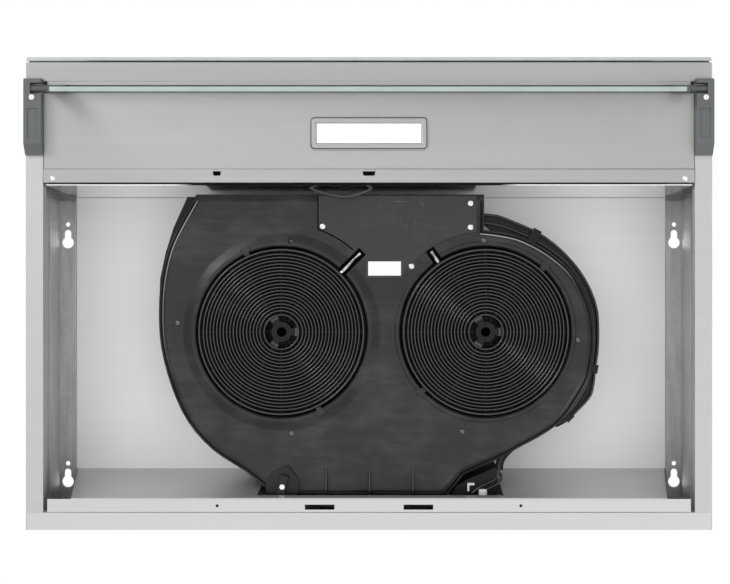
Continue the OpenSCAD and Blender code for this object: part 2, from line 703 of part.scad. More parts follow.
module blower_cover() {
    color(black_c) {
        difference() {
            union() {
                difference() {
                    union() {
                        band([lifted(inset(outline, rim_w), face_z),
                              lifted(inset(outline, seam + 3.5), face_z),
                              lifted(inset(outline, seam + 2), face_z + 0.6),
                              lifted(inset(outline, 1), seam_z - 1.6),
                              lifted(outline, seam_z - 1), lifted(outline, seam_z),
                              lifted(inset(outline, seam + wall), seam_z),
                              lifted(inset(outline, seam + wall), face_z + wall),
                              lifted(inset(outline, rim_w), face_z + wall)]);
                        translate([0, 0, face_z]) linear_extrude(wall) polygon(inset(outline, rim_w));
                    }
                    at_fans() translate([0, 0, face_z - 1]) cylinder(r = dish_r + 4, h = wall + 2, $fn = 96);
                }
                translate(fans[0]) inlet_dish(collar_slope, collar_rise);
                translate(fans[1]) inlet_dish(low_slope, low_rise);
                for (c = screw_places) translate([c.x, c.y, face_z + wall - 1])
                    cylinder(r = 3.5, h = seam_z - face_z - wall + 1, $fn = 32);
            }
            for (c = screw_places) translate([c.x, c.y, face_z]) {
                translate([0, 0, -1]) cylinder(r = 1.5 + run_gap, h = 9, $fn = 24);
                translate([0, 0, -8]) cylinder(r = 3.2, h = 8 + screw_seat, $fn = 32);
            }
            translate([knob_c.x, knob_c.y, face_z - 1]) cylinder(r = 5 + run_gap, h = 9, $fn = 32);
            translate([0, 0, face_z - 8]) clip_slots(8 + clip_slot_d);
        }
        for (x = [-49, 0, 49]) along_x([[outlet_back - 38, face_z + eps], [outlet_back - 34, face_z - 0.8],
            [outlet_back - 16, face_z - 3.5], [outlet_back - 6, face_z - 3.5], [outlet_back - 2, seam_z - 2],
            [outlet_back - 9, face_z + eps]], x - 1.3, x + 1.3);
        for (f = [0, 1], a = catch_angles[f]) translate([fans[f].x, fans[f].y, 0])
            rotate([0, 0, a]) translate([dish_r, 0, face_z - (f == 0 ? collar_rise : low_rise)]) catch_tab();
    }
}
// Small catch moulded on top of a collar, against the edge of the filter
module catch_tab() {
    block([1, -5, -2.2], [7, 5, 1.5]);
    block([-2.3, -3, -2.2], [1.5, 3, -0.8]);
}

mount_ring = motor_r + 9;
flange_z = liner_z - wall - 6;

// Motor hung on its flange, with its shaft pointing down
module motor() {
    color(zinc_c) difference() {
        union() {
            translate([0, 0, flange_z - 2]) cylinder(r = mount_ring + 6, h = 2, $fn = 64);
            translate([0, 0, flange_z - eps]) cylinder(r = motor_r - 8, h = 4, $fn = 64);
            rotate_extrude($fn = 64) polygon([[0, flange_z - 1], [motor_r, flange_z - 1],
                [motor_r, shaft_top + 6], [motor_r - 4, shaft_top + 2], [12, shaft_top],
                [12, shaft_top - 3], [0, shaft_top - 3]]);
            translate([0, 0, nut_z - 4]) cylinder(r = shaft_r, h = shaft_top - nut_z + 4, $fn = 32);
        }
        for (a = [30, 150, 270]) rotate([0, 0, a]) translate([mount_ring, 0, flange_z - 3])
            cylinder(r = 3.5, h = 4, $fn = 32);
        for (a = [0 : 30 : 330]) rotate([0, 0, a]) translate([motor_r - 7, 0, shaft_top + 1])
            block([-2, -2.5, -1], [6, 2.5, 9]);
    }
}
shaft_top = dish_z + 35;
hub_z = dish_z + 22;
nut_z = hub_z - 1.3;

module motor_left() {
    translate([fans[0].x, fans[0].y, 0]) motor();
}
module motor_right() {
    translate([fans[1].x, fans[1].y, 0]) motor();
}
// Rubber bushes between the motors' flanges and the housing
module motor_mounts() {
    color(rubber_c) at_fans() for (a = [30, 150, 270]) rotate([0, 0, a]) translate([mount_ring, 0, 0]) {
        translate([0, 0, flange_z]) cylinder(r = 5.5, h = liner_z - wall - flange_z, $fn = 32);
        translate([0, 0, flange_z - 4]) cylinder(r = 3.5, h = 4 + eps, $fn = 32);
        translate([0, 0, flange_z - 4.5]) cylinder(r = 5, h = 2.5, $fn = 32);
    }
}

blade_w = 12;
back_z = liner_z - 18;
eye_z = dish_z + 11;

// Section of one forward-curved blade, an arc between the inner and the outer edge of the wheel
function blade_section() = let (c = [impeller_r - blade_w * 0.9, -blade_w * 0.85], r = blade_w)
    concat(arc(c, r, 20, 118, 5), arc(c, r - 0.9, 118, 20, 5));

// Drum wheel: blades between an inlet ring and a back plate that is dished down round the motor
module impeller(s) {
    color(black_c) difference() {
        union() {
            ring(impeller_r - 5, impeller_r, eye_z, eye_z + 2.5);
            rotate_extrude($fn = 96) polygon(folded([[impeller_r, back_z], [motor_r + 8, back_z],
                [motor_r + 3, back_z - 5], [motor_r + 2, hub_z + 16], [motor_r - 3, hub_z + 9],
                [shaft_r + run_gap, hub_z + 9]], 2));
            ring(shaft_r + run_gap, 9, hub_z, hub_z + 8);
            for (k = [0 : blades - 1]) rotate([0, 0, 360 * k / blades]) mirror([0, s < 0 ? 1 : 0, 0])
                translate([0, 0, eye_z]) linear_extrude(back_z - 1 - eye_z) polygon(blade_section());
        }
        translate([0, 0, hub_z - 1]) cylinder(r = shaft_r + run_gap, h = 16, $fn = 48);
    }
}
module impeller_left() {
    translate([fans[0].x, fans[0].y, 0]) impeller(1);
}
module impeller_right() {
    translate([fans[1].x, fans[1].y, 0]) impeller(-1);
}
module impeller_nut() {
    color(zinc_c) difference() {
        translate([0, 0, hub_z - 5.5]) cylinder(r = 7, h = 5.2, $fn = 6);
        translate([0, 0, hub_z - 6]) cylinder(r = shaft_r + run_gap, h = 8, $fn = 32);
    }
}
module impeller_nut_left() {
    translate([fans[0].x, fans[0].y, 0]) impeller_nut();
}
module impeller_nut_right() {
    translate([fans[1].x, fans[1].y, 0]) impeller_nut();
}

post_r = 11.5;
lug_r = 14.8;
lug_z = face_z - 5;
socket_r = 18.5;

// Spoked guard over the inlet, with the post that the filter locks on
module inlet_guard() {
    color(black_c) difference() {
        union() {
            ring(inlet_r + 4, inlet_r + 9, dish_z - 2.2, dish_z);
            for (a = [0 : 60 : 300]) rotate([0, 0, a])
                block([post_r - 2, -1.4, dish_z - 2.2], [inlet_r + 6, 1.4, dish_z - eps]);
            translate([0, 0, lug_z]) cylinder(r = post_r, h = dish_z - lug_z, $fn = 48);
            for (a = [0, 120, 240]) rotate([0, 0, a - 18]) rotate_extrude(angle = 36, $fn = 96)
                translate([post_r - 1, lug_z]) square([lug_r - post_r + 1, 2.2]);
        }
        translate([0, 0, lug_z - 1]) cylinder(r = 5.4, h = 14, $fn = 32);
    }
}
module inlet_guard_left() {
    translate([fans[0].x, fans[0].y, 0]) inlet_guard();
}
module inlet_guard_right() {
    translate([fans[1].x, fans[1].y, 0]) inlet_guard();
}

filter_top = dish_z - loose_gap;
filter_face = filter_top - filter_t;
ring_pitch = (filter_r - 2 - socket_r - 1.8) / filter_rings;

// Round case of a carbon filter: a grille of rings and spokes, a rim and a socket with three lugs
module filter_case() {
    color(black_c) {
        ring(filter_r - 2, filter_r, filter_face, filter_top);
        ring(socket_r, socket_r + 1.8, filter_face, dish_z - 3.5);
        for (k = [1 : filter_rings - 1]) let (r = socket_r + 1.8 + ring_pitch * k)
            ring(r - 0.8, r + 0.8, filter_face + (k == 9 ? -0.6 : 0), filter_face + 2.2);
        for (a = [0 : 360 / filter_spokes : 359]) rotate([0, 0, a])
            block([socket_r + 1, -0.9, filter_face + 0.6], [filter_r - 1, 0.9, filter_face + 2.8]);
        for (a = [0, 120, 240]) rotate([0, 0, a - 18]) rotate_extrude(angle = 36, $fn = 96)
            translate([post_r + 0.4, lug_z + 2.6]) square([socket_r - post_r + 0.4, 2]);
    }
}
module filter_left() {
    translate([fans[0].x, fans[0].y, 0]) filter_case();
}
module filter_right() {
    translate([fans[1].x, fans[1].y, 0]) filter_case();
}
module charcoal() {
    color(charcoal_c) ring(socket_r + 1.8, filter_r - 2, filter_face + 2.8, dish_z - 3.5);
}
module charcoal_left() {
    translate([fans[0].x, fans[0].y, 0]) charcoal();
}
module charcoal_right() {
    translate([fans[1].x, fans[1].y, 0]) charcoal();
}

plate_t = 1.2;
plate_w = 178.5;
plate_left = -57.5;
plate_arcs = [dish_r + 27, dish_r + 17];
plate_screw_places = [[-53, -137], [114, -163], [114, -136], [47.5, -92]];
label_at = [-1.5, -97.5];
label_size = [37, 16];

// Dark steel plate over the wiring between the lobes, cut to follow both dishes
module bridge_plate() {
    color(grey_c) translate([0, 0, face_z - plate_t]) difference() {
        linear_extrude(plate_t) {
            difference() {
                translate([plate_left, blower_front + 2])
                    square([plate_w, fan_y - 62 - blower_front - 2]);
                translate(fans[0]) circle(r = plate_arcs[0], $fn = 96);
                translate(fans[1]) circle(r = plate_arcs[1], $fn = 96);
            }
            translate(label_at - [3, 3]) square(label_size + [6, 6]);
            translate(plate_screw_places[3]) circle(r = 6, $fn = 32);
        }
        translate([0, 0, plate_t - 3]) clip_slots(4);
        for (c = plate_screw_places) translate([c.x, c.y, -1]) cylinder(r = 1.5 + run_gap, h = 4, $fn = 24);
    }
}
// Screws of the cover, and round-headed ones through the plate
module cover_screws() {
    color(zinc_c) for (c = screw_places) translate([c.x, c.y, face_z]) {
        translate([0, 0, screw_seat - 1.4]) cylinder(r = 2.8, h = 1.4, $fn = 32);
        cylinder(r = 1.5, h = 11, $fn = 24);
    }
    color(zinc_c) for (c = plate_screw_places) translate([c.x, c.y, face_z - plate_t]) difference() {
        union() {
            rotate_extrude($fn = 32)
                polygon(concat([[0, 0]], [[3.4, 0]], arc([0, 0], 3.4, 0, -40, 3), [[0, -2.2]]));
            cylinder(r = 1.5, h = plate_t, $fn = 24);
        }
        translate([-2, -0.4, -4]) cube([4, 0.8, 2.6]);
        translate([-0.4, -2, -4]) cube([0.8, 4, 2.6]);
    }
}
module plate_label() {
    color(white_c) translate([label_at.x, label_at.y, face_z - plate_t - 0.2])
        cube([label_size.x, label_size.y, 0.2]);
}

// Slots for the spring clips, from the rim of each dish outward: fan, angle and length
clip_places = [[0, -45, 31], [1, -124, 15]];
module at_clip(k) {
    c = clip_places[k];
    translate([fans[c.x].x, fans[c.x].y, 0]) rotate([0, 0, c.y]) translate([dish_r, 0, 0]) children();
}
module clip_slots(h) {
    for (k = [0, 1]) at_clip(k) translate([-2, -5.5, 0]) cube([clip_places[k].z + 4, 11, h]);
}

// Sprung steel bars in their slots, each with a nose over the rim of the well and a raised back
module spring_clips() {
    z = face_z + clip_slot_d;
    color(steel_c) for (k = [0, 1]) at_clip(k) let (length = clip_places[k].z) {
        block([-3, -2.5, z - 1], [length, 2.5, z]);
        block([2, -2.5, z - 2], [length * 0.6, 2.5, z - 0.9]);
        block([length - 1, -3.5, z - 2.4], [length, 3.5, z]);
    }
}

knob_z = face_z - 0.3;

// Round knob with a raised grip and a pointed corner
module mode_knob() {
    color(black_c) translate([knob_c.x, knob_c.y, 0]) difference() {
        union() {
            translate([0, 0, knob_z - 4]) linear_extrude(4) union() {
                circle(d = knob_d, $fn = 64);
                rotate(-74) polygon([[0, 0], [0.8 * knob_d / 2, -0.55 * knob_d / 2], [knob_d / 2 + 4.5, 0],
                                     [0.8 * knob_d / 2, 0.55 * knob_d / 2]]);
            }
            rotate([0, 0, -78]) translate([-12, -4.5, knob_z - 11]) cube([25, 9, 8]);
        }
        translate([0, 0, knob_z - 7.5]) cylinder(r = 2 + run_gap, h = 10, $fn = 32);
        translate([0, 0, knob_z - 12]) cylinder(r = 3.4, h = 4.5, $fn = 32);
        translate([0, 0, knob_z - 2.5]) cylinder(r = 5, h = 4, $fn = 32);
    }
}
module knob_screw() {
    color(zinc_c) translate([knob_c.x, knob_c.y, knob_z - 9.3]) {
        difference() {
            cylinder(r = 3, h = 1.8, $fn = 32);
            translate([-2.2, -0.4, -1]) cube([4.4, 0.8, 1.8]);
        }
        cylinder(r = 2, h = 6.8, $fn = 24);
    }
}
// Vane on the knob's spindle: shuts the port in the housing's back wall, or swings in across the outlet
module diverter_vane() {
    top = liner_z - wall;
    color(black_c) translate([knob_c.x, knob_c.y, 0]) {
        translate([0, 0, knob_z - 2.5]) cylinder(r = 5, h = top - 1.2 - knob_z + 2.5, $fn = 48);
        translate([0, 0, top - 1.3]) cylinder(r = 3, h = 2.1, $fn = 32);
        block([0, 3, seam_z + 6], [vane_reach, 5, top - 6]);
        for (z = [seam_z + 6, (seam_z + top) / 2 - 1, top - 8])
            block([0, 0, z], [vane_reach * 0.7, 4, z + 2]);
    }
}

collar_w = 2.5;
rod_z = 28;
rod_r = 2;

// Round outlet collar with its flange and the stop that the flaps rest on
module outlet_collar() {
    in_r = collar_r - collar_w;
    color(black_c) translate([collar_c.x, collar_c.y, 0]) difference() {
        union() {
            rotate_extrude($fn = 96) polygon([[in_r, liner_z + loose_gap], [collar_r, liner_z + loose_gap],
                [collar_r, 0], [collar_r + 12, 0], [collar_r + 12, 2], [collar_r, 2], [collar_r, collar_h],
                [in_r, collar_h], [in_r, rod_z - 1.2], [in_r - 3, rod_z - 1.2], [in_r - 3, rod_z - 3],
                [in_r, rod_z - 6]]);
        }
        translate([-collar_r - 1, 0, rod_z]) rotate([0, 90, 0])
            cylinder(r = rod_r + run_gap, h = collar_d + 2, $fn = 32);
        for (a = [45 : 90 : 315]) rotate([0, 0, a]) translate([collar_r + 7, 0, -1])
            cylinder(r = 2, h = 4, $fn = 24);
    }
}
module flap_rod() {
    color(zinc_c) translate([collar_c.x - collar_r + 0.6, collar_c.y, rod_z]) rotate([0, 90, 0])
        cylinder(r = rod_r, h = collar_d - 1.2, $fn = 32);
}
// Half-round flap with knuckles at the given places along the rod; s is its side of the rod
module flap(s, knuckles) {
    r = collar_r - collar_w - 0.8;
    color(grey_c) translate([collar_c.x, collar_c.y, rod_z]) difference() {
        union() {
            translate([0, 0, -0.6]) linear_extrude(1.2) intersection() {
                circle(r = r, $fn = 96);
                translate([-r + 3, s > 0 ? 3.6 : -r]) square([2 * r - 6, r - 3.6]);
            }
            for (k = knuckles) {
                translate([k.x, 0, 0]) rotate([0, 90, 0]) cylinder(r = rod_r + 1.3, h = k.y - k.x, $fn = 48);
                block([k.x, s > 0 ? 1 : -5, -0.6], [k.y, s > 0 ? 5 : -1, 0.6]);
            }
        }
        translate([-collar_r, 0, 0]) rotate([0, 90, 0]) cylinder(r = rod_r + run_gap, h = collar_d, $fn = 48);
    }
}
module flap_front() {
    flap(-1, [[-60, -40], [20.5, 40]]);
}
module flap_rear() {
    flap(1, [[-39.5, -20], [40.5, 60]]);
}

// Routes of the cables, chosen by hand: two round the right lobe and the lamp's wire in front. The third
// value lifts a cable, where the outer one climbs over the inner one to hide above the seam flange
cable_r = 1.5;
cable_z = seam_z + wall + 3;
inner_route = [[130.5, -142, 0], [149, -138.5, 0], [168, -131.5, 0], [186, -123.5, 0], [209.5, -108.5, 0],
               [230, -90, 0], [243.8, -67, 0], [252.8, -44.5, 0], [255.8, -21.5, 0], [255.6, 2, 0],
               [252.8, 24, 0], [248.5, 39, 0], [239, 57, 0], [224.5, 77, 0], [210.5, 86.5, 0],
               [195, 96.5, 0], [167, 112.5, 0], [156, 119.5, 0], [149.5, 127, 0], [147, 137.5, 0]];
outer_route = [[130.5, -151, 0], [147, -149, 0], [165, -142, 0], [190, -131, 0], [213, -115, 0],
               [235, -92, 0], [250, -68, 0], [258.5, -43.5, 0], [260.2, -21, 0], [259.6, 3, 0],
               [256.6, 24.7, 0], [254.8, 42, 0], [249.5, 58, 0], [227.5, 79.8, 0], [211.5, 89, 3.2],
               [195.5, 98, 3.4], [167.5, 113.5, 3.4], [156.5, 120.5, 3.4], [150, 128.5, 3.4],
               [147, 140.5, 3.4]];
// Ledge of the upper moulding above the cables
cable_shelf = concat([[118, -150], [122, -153.5]],
    curve([for (k = [0 : 12]) outer_edge(k)], 2), [[222, 66], [246, 0], [222, -80], [150, -122]]);
function outer_edge(k) = let (t = unit(outer_route[k + 1] - outer_route[max(k - 1, 0)]))
    [outer_route[k].x + 1.8 * t.y, outer_route[k].y - 1.8 * t.x];
wire_route = [[-76, -2, 0], [-72, 6, -3], [-60, 10, -8], [-42, 11.5, -10], [-27, 12, -10], [-13, 10.5, -9],
              [3, 6, -4], [8, -2, 0]];

module motor_cable_inner() {
    color(rubber_c) translate([0, 0, cable_z]) tube(curve(inner_route, 3), cable_r);
}
module motor_cable_outer() {
    color(rubber_c) translate([0, 0, cable_z]) tube(curve(outer_route, 3), cable_r);
}
// Thin wire that comes out of one hole in the bay's front wall and goes back in at the other
module lamp_wire() {
    color(rubber_c) tube(curve([for (w = wire_route) [w.x, bay_y + w.y, wire_z + w.z]], 2), 1.1);
}
// Straps on the seam flange, square to the cables, each with two round grooves under the ledge
module cable_clips() {
    groove_r = cable_r + 0.45;
    places = [[3, 7.8], [10, 5.4], [13, 4.6]];
    color(black_c) for (k = places)
        let (p = inner_route[k[0]], t = inner_route[k[0] + 1] - inner_route[k[0] - 1],
             a = atan2(t.y, t.x) - 90, apart = (outer_route[k[0]] - p) * [cos(a), sin(a), 0])
        translate([p.x, p.y, cable_z]) rotate([0, 0, a]) difference() {
            block([-k[1], -5, eps - 3], [apart + 3.2, 5, cable_r + 0.2]);
            for (x = [0, apart]) translate([x, -6, 0]) rotate([-90, 0, 0])
                cylinder(r = groove_r, h = 12, $fn = 32);
            block([-groove_r, -6, 0], [apart + groove_r, 6, 3]);
        }
}

box_pts = [[outlet_right + 12, outlet_back - 12], [112, 150], [145, 136],
           [outlet_right + 59, outlet_back + 2], [outlet_right + 6, outlet_back + 2]];

// Box behind the right lobe where the motors' cables end
module wiring_box() {
    color(black_c) translate([0, 0, face_z + 9]) difference() {
        linear_extrude(liner_z - face_z - 9) polygon(box_pts);
        translate([0, 0, wall]) linear_extrude(liner_z - face_z - 9 - 2 * wall) polygon(inset(box_pts, wall));
    }
}
module wire_connector() {
    color(grey_c) translate([124, outlet_back - 9, face_z + 3]) {
        cube([9, 9, 6]);
        translate([1.5, 1.5, -2]) cube([6, 6, 3]);
    }
}
module connector_clip() {
    color(white_c) translate([111, outlet_back - 16, face_z + 4]) {
        cube([8, 2.2, 5]);
        cube([2.2, 9, 5]);
    }
}

// Bushing for the mains lead in the top of the canopy
module mains_gland() {
    color(black_c) translate([gland_c.x, gland_c.y, 0]) rotate_extrude($fn = 48) polygon([
        [4.5, -sheet - 6], [gland_r + 1.2, -sheet - 4], [gland_r + 1.2, -sheet], [gland_r, -sheet],
        [gland_r, 0], [gland_r + 4, 0], [gland_r + 3, 3], [4.5, 3]]);
}

canopy_top();
canopy_front();
canopy_back();
canopy_side_left();
canopy_side_right();
side_rail_left();
side_rail_right();
bay_ceiling();
bay_front();
rear_rail();
filter_lip();
lamp_panel();
glass_fascia();
fascia_pads();
board_carrier();
control_board();
motor_capacitor();
lamp_bezel();
lamp_lens();
led_board();
visor_glass();
visor_jaw_left();
visor_jaw_right();
hinge_bracket_left();
hinge_bracket_right();
bracket_screws();
blower_cover();
blower_housing();
motor_left();
motor_right();
motor_mounts();
impeller_left();
impeller_right();
impeller_nut_left();
impeller_nut_right();
inlet_guard_left();
inlet_guard_right();
filter_left();
filter_right();
charcoal_left();
charcoal_right();
cover_screws();
bridge_plate();
plate_label();
spring_clips();
mode_knob();
knob_screw();
diverter_vane();
outlet_collar();
flap_rod();
flap_front();
flap_rear();
motor_cable_inner();
motor_cable_outer();
cable_clips();
lamp_wire();
wiring_box();
wire_connector();
connector_clip();
mains_gland();
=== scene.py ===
# %% [markdown]
# # A shallow range hood, seen from straight below
#
# The hood hangs from a cabinet with its grease filters out, so the twin blower shows inside the steel
# canopy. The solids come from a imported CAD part. This script gives them their finishes, replaces the
# few that need finer forms, and sets the lamps and the camera of a plain studio view.

# %% Load the part
import math

import bmesh
import bpy
import numpy as np
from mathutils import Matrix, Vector


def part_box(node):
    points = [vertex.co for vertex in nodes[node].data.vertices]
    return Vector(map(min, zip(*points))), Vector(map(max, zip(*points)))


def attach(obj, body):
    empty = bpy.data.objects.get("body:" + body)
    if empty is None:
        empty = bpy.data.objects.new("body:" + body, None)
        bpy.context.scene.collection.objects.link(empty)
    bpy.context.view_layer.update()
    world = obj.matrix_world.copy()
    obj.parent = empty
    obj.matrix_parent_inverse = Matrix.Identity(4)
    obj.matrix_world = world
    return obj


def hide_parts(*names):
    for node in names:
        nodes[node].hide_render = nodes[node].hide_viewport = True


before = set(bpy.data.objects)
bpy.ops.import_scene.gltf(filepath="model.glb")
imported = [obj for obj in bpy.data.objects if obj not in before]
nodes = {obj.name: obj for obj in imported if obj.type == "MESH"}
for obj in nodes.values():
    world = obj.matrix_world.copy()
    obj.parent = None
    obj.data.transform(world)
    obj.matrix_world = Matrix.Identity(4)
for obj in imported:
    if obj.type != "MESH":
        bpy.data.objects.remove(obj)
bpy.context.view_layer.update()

# %% [markdown]
# ## Camera
#
# The photograph looks straight up, with the hood's front edge at the top of the picture. A camera in
# Blender looks along its own -Z, so half a turn about X makes it look up, and puts the wall side at
# the bottom. Its distance is what makes the inside walls narrow toward the top plate as they do in
# the photograph, and the lens then sets the size in the frame.

# %% Camera
PICTURE_W = 730
EYE = (0.0243, -0.063, -1.430)
FOCAL_PIXELS = 1175.4
SENSOR = 36.0
LEFT_SHIFT = -0.0356
FARTHEST = 50

camera = bpy.data.objects.new("camera", bpy.data.cameras.new("camera"))
bpy.context.scene.collection.objects.link(camera)
camera.location = EYE
camera.rotation_euler = (math.pi, 0, 0)
camera.data.sensor_width = SENSOR
camera.data.lens = FOCAL_PIXELS * SENSOR / PICTURE_W
camera.data.shift_x = LEFT_SHIFT
camera.data.clip_end = FARTHEST
bpy.context.scene.camera = camera
print("lens in mm:", round(camera.data.lens, 2))

# %% [markdown]
# ## World
#
# The picture has a white background with no horizon. The same white would light the hood a little too
# strongly, so the world is two backgrounds: a white one that only the camera, mirrors and glass see,
# and a milder one that gives the light. A Light Path node tells them apart.

# %% World
FILL_LIGHT = 0.85
WHITE = (1, 1, 1, 1)

world = bpy.data.worlds.new("studio")
bpy.context.scene.world = world
world.use_nodes = True
tree = world.node_tree
tree.nodes.clear()


def world_node(kind, *inputs, **settings):
    """A node of the world, its settings first and then its sockets in order, by link or by value."""
    made = tree.nodes.new(kind)
    for name, value in settings.items():
        setattr(made, name, value)
    for socket, value in zip(made.inputs, inputs):
        if isinstance(value, bpy.types.NodeSocket):
            tree.links.new(value, socket)
        else:
            socket.default_value = value
    return made.outputs


path = world_node("ShaderNodeLightPath")
through = world_node("ShaderNodeMath", path["Is Glossy Ray"], path["Is Transmission Ray"],
                     operation="MAXIMUM")
seen = world_node("ShaderNodeMath", path["Is Camera Ray"], through[0], operation="MAXIMUM")
mild = world_node("ShaderNodeBackground", WHITE, FILL_LIGHT)
white = world_node("ShaderNodeBackground", WHITE, 1.0)
either = world_node("ShaderNodeMixShader", seen[0], mild[0], white[0])
world_node("ShaderNodeOutputWorld", either[0])
print("world nodes:", len(tree.nodes))

# %% [markdown]
# ## Lamps
#
# One very large soft lamp far below lights the inside evenly. A small key lamp stands low at the front
# left, so that it glances off round edges but is never mirrored in the flat sheets, and a small fill
# lamp faces it from the rear right. The weak lamps above, behind and at the side reach the faces that
# only other views show.

# %% Lamps
AIM = Vector((0, 0, -0.08))
LAMPS = {  # place and size in metres, and power in watts
    "below": ((0.0, 0.0, -2.3), 3.4, 21.0),
    "key": ((-1.5, -1.3, -1.0), 0.5, 12.0),
    "fill": ((1.7, 1.0, -0.95), 0.45, 7.0),
    "top": ((-0.3, -0.6, 1.5), 1.4, 6.0),
    "back": ((0.6, 1.9, 0.5), 1.4, 3.0),
    "side": ((-2.0, 0.5, 0.4), 1.4, 0.5),
}
for name, (place, size, power) in LAMPS.items():
    lamp = bpy.data.objects.new(name, bpy.data.lights.new(name, "AREA"))
    lamp.data.size = size
    lamp.data.energy = power
    lamp.location = place
    lamp.rotation_euler = (AIM - Vector(place)).to_track_quat("-Z", "Y").to_euler()
    bpy.context.scene.collection.objects.link(lamp)
print("lamps:", len(LAMPS))

# %% [markdown]
# ## Shader maths
#
# A finish is a small program: it mixes noises, stretches them and feeds the result to a few sockets.
# Written as nodes by hand this is long, so one class wraps a socket and lets Python's own operators
# add the Math nodes. Every other node comes from one method that takes its kind, its settings and
# what goes into it.

# %% Values
class Value:
    """The output of a shader node. Arithmetic on it adds Math nodes to the same finish."""

    def __init__(self, finish, socket):
        self.finish, self.socket = finish, socket

    def math(self, operation, *others):
        """This value first, and the others after it, through one Math node."""
        return self.finish.node("ShaderNodeMath", {"operation": operation},
                                dict(enumerate((self, *others))))

    def __add__(self, other):
        return self.math("ADD", other)

    def __sub__(self, other):
        return self.math("SUBTRACT", other)

    def __rsub__(self, other):
        return self.math("MULTIPLY_ADD", -1.0, other)

    def __mul__(self, other):
        return self.math("MULTIPLY", other)

    __radd__ = __add__
    __rmul__ = __mul__

    def above(self, low, high):
        """0 at low and 1 at high, straight in between, and clamped outside."""
        return self.finish.node("ShaderNodeMapRange", {},
                                {"Value": self, "From Min": low, "From Max": high})

    def between(self, low, high, soft):
        """1 from low to high and 0 outside, with soft ends that lie inside."""
        return self.above(low, low + soft) * (1 - self.above(high - soft, high))


# %% Finishes
FACING = (0.6, 0.8)


class Finish:
    """A material being made: a Principled shader and the nodes that feed it."""

    def __init__(self, name, color, rough, metal=0.0, **constants):
        self.material = bpy.data.materials.new(name)
        self.material.use_nodes = True
        self.tree = self.material.node_tree
        self.shader = self.tree.nodes["Principled BSDF"]
        self.set("Base Color", (*color, 1))
        self.set("Roughness", rough)
        self.set("Metallic", metal)
        for socket, value in constants.items():
            self.set(socket.replace("_", " "), value)

    def set(self, socket, value):
        """A link or a constant into a socket of the shader."""
        self.feed(self.shader.inputs[socket], value)

    def feed(self, socket, value):
        """A link or a constant into any socket."""
        if isinstance(value, Value):
            self.tree.links.new(value.socket, socket)
        else:
            socket.default_value = value

    def node(self, kind, settings=None, inputs=None, output=0):
        """A node of this kind, its settings first and then its sockets, as the value of one output."""
        made = self.tree.nodes.new(kind)
        for name, value in (settings or {}).items():
            setattr(made, name, value)
        for key, value in (inputs or {}).items():
            self.feed(made.inputs[key], value)
        return Value(self, made.outputs[output])

    def place(self, scale=(1, 1, 1)):
        """Object coordinates, in metres, scaled along each axis."""
        at = self.node("ShaderNodeTexCoord", output="Object")
        return self.node("ShaderNodeMapping", {}, {"Vector": at, "Scale": scale})

    def along(self, axis):
        """Place along one axis, in metres."""
        return self.node("ShaderNodeSeparateXYZ", {}, {0: self.place()}, axis)

    def normal(self):
        """The way that the surface faces."""
        return self.node("ShaderNodeNewGeometry", output="Normal")

    def facing(self, axis):
        """1 where the surface faces along an axis, either way, and 0 where it lies along it."""
        share = self.node("ShaderNodeSeparateXYZ", {}, {0: self.normal()}, axis)
        return share.math("ABSOLUTE").above(*FACING)

    def noise(self, scale, detail=3.0, stretch=(1, 1, 1)):
        """Cloudy noise with lumps 1 / scale metres apart, squeezed by stretch along each axis."""
        return self.node("ShaderNodeTexNoise", {},
                         {"Vector": self.place(stretch), "Scale": scale, "Detail": detail})

    def cells(self, scale, output="Distance"):
        """Voronoi cells 1 / scale metres apart."""
        return self.node("ShaderNodeTexVoronoi", {}, {"Vector": self.place(), "Scale": scale}, output)

    def mix(self, share, a, b):
        """Colour a where share is 0 and b where it is 1."""
        a, b = (c if isinstance(c, Value) else (*c, 1) for c in (a, b))
        return self.node("ShaderNodeMix", {"data_type": "RGBA"}, {0: share, 6: a, 7: b}, 2)

    def relief(self, height, depth, round_edge=0.0):
        """Bumps of the given depth in metres, over edges rounded by round_edge."""
        inputs = {"Height": height, "Distance": depth, "Strength": 1.0}
        if round_edge:
            inputs["Normal"] = self.node("ShaderNodeBevel", {"samples": 6}, {"Radius": round_edge})
        self.set("Normal", self.node("ShaderNodeBump", {}, inputs))


def toned(color, share):
    """A colour made darker or lighter, up to white."""
    return tuple(min(1.0, c * share) for c in color)


# %% [markdown]
# ## Stainless sheet
#
# The canopy is brushed along its length: very fine parallel scratches that catch the light as soft
# bands. Real scratches are far below a pixel, so the finish uses noise that is squeezed across the
# brushing and stretched along it. Walls that face sideways are brushed along their own length, so a
# mask from the surface's direction picks the second noise there. The front inner wall is polished
# bright, and where the dark blower stands close to it, its cut edge is painted dark: a painted
# reflection of the blower.

# %% Brushed steel
SCRATCH_LONG, SCRATCH_FINE = 5, 1500
SHADE_SOFT = 0.02


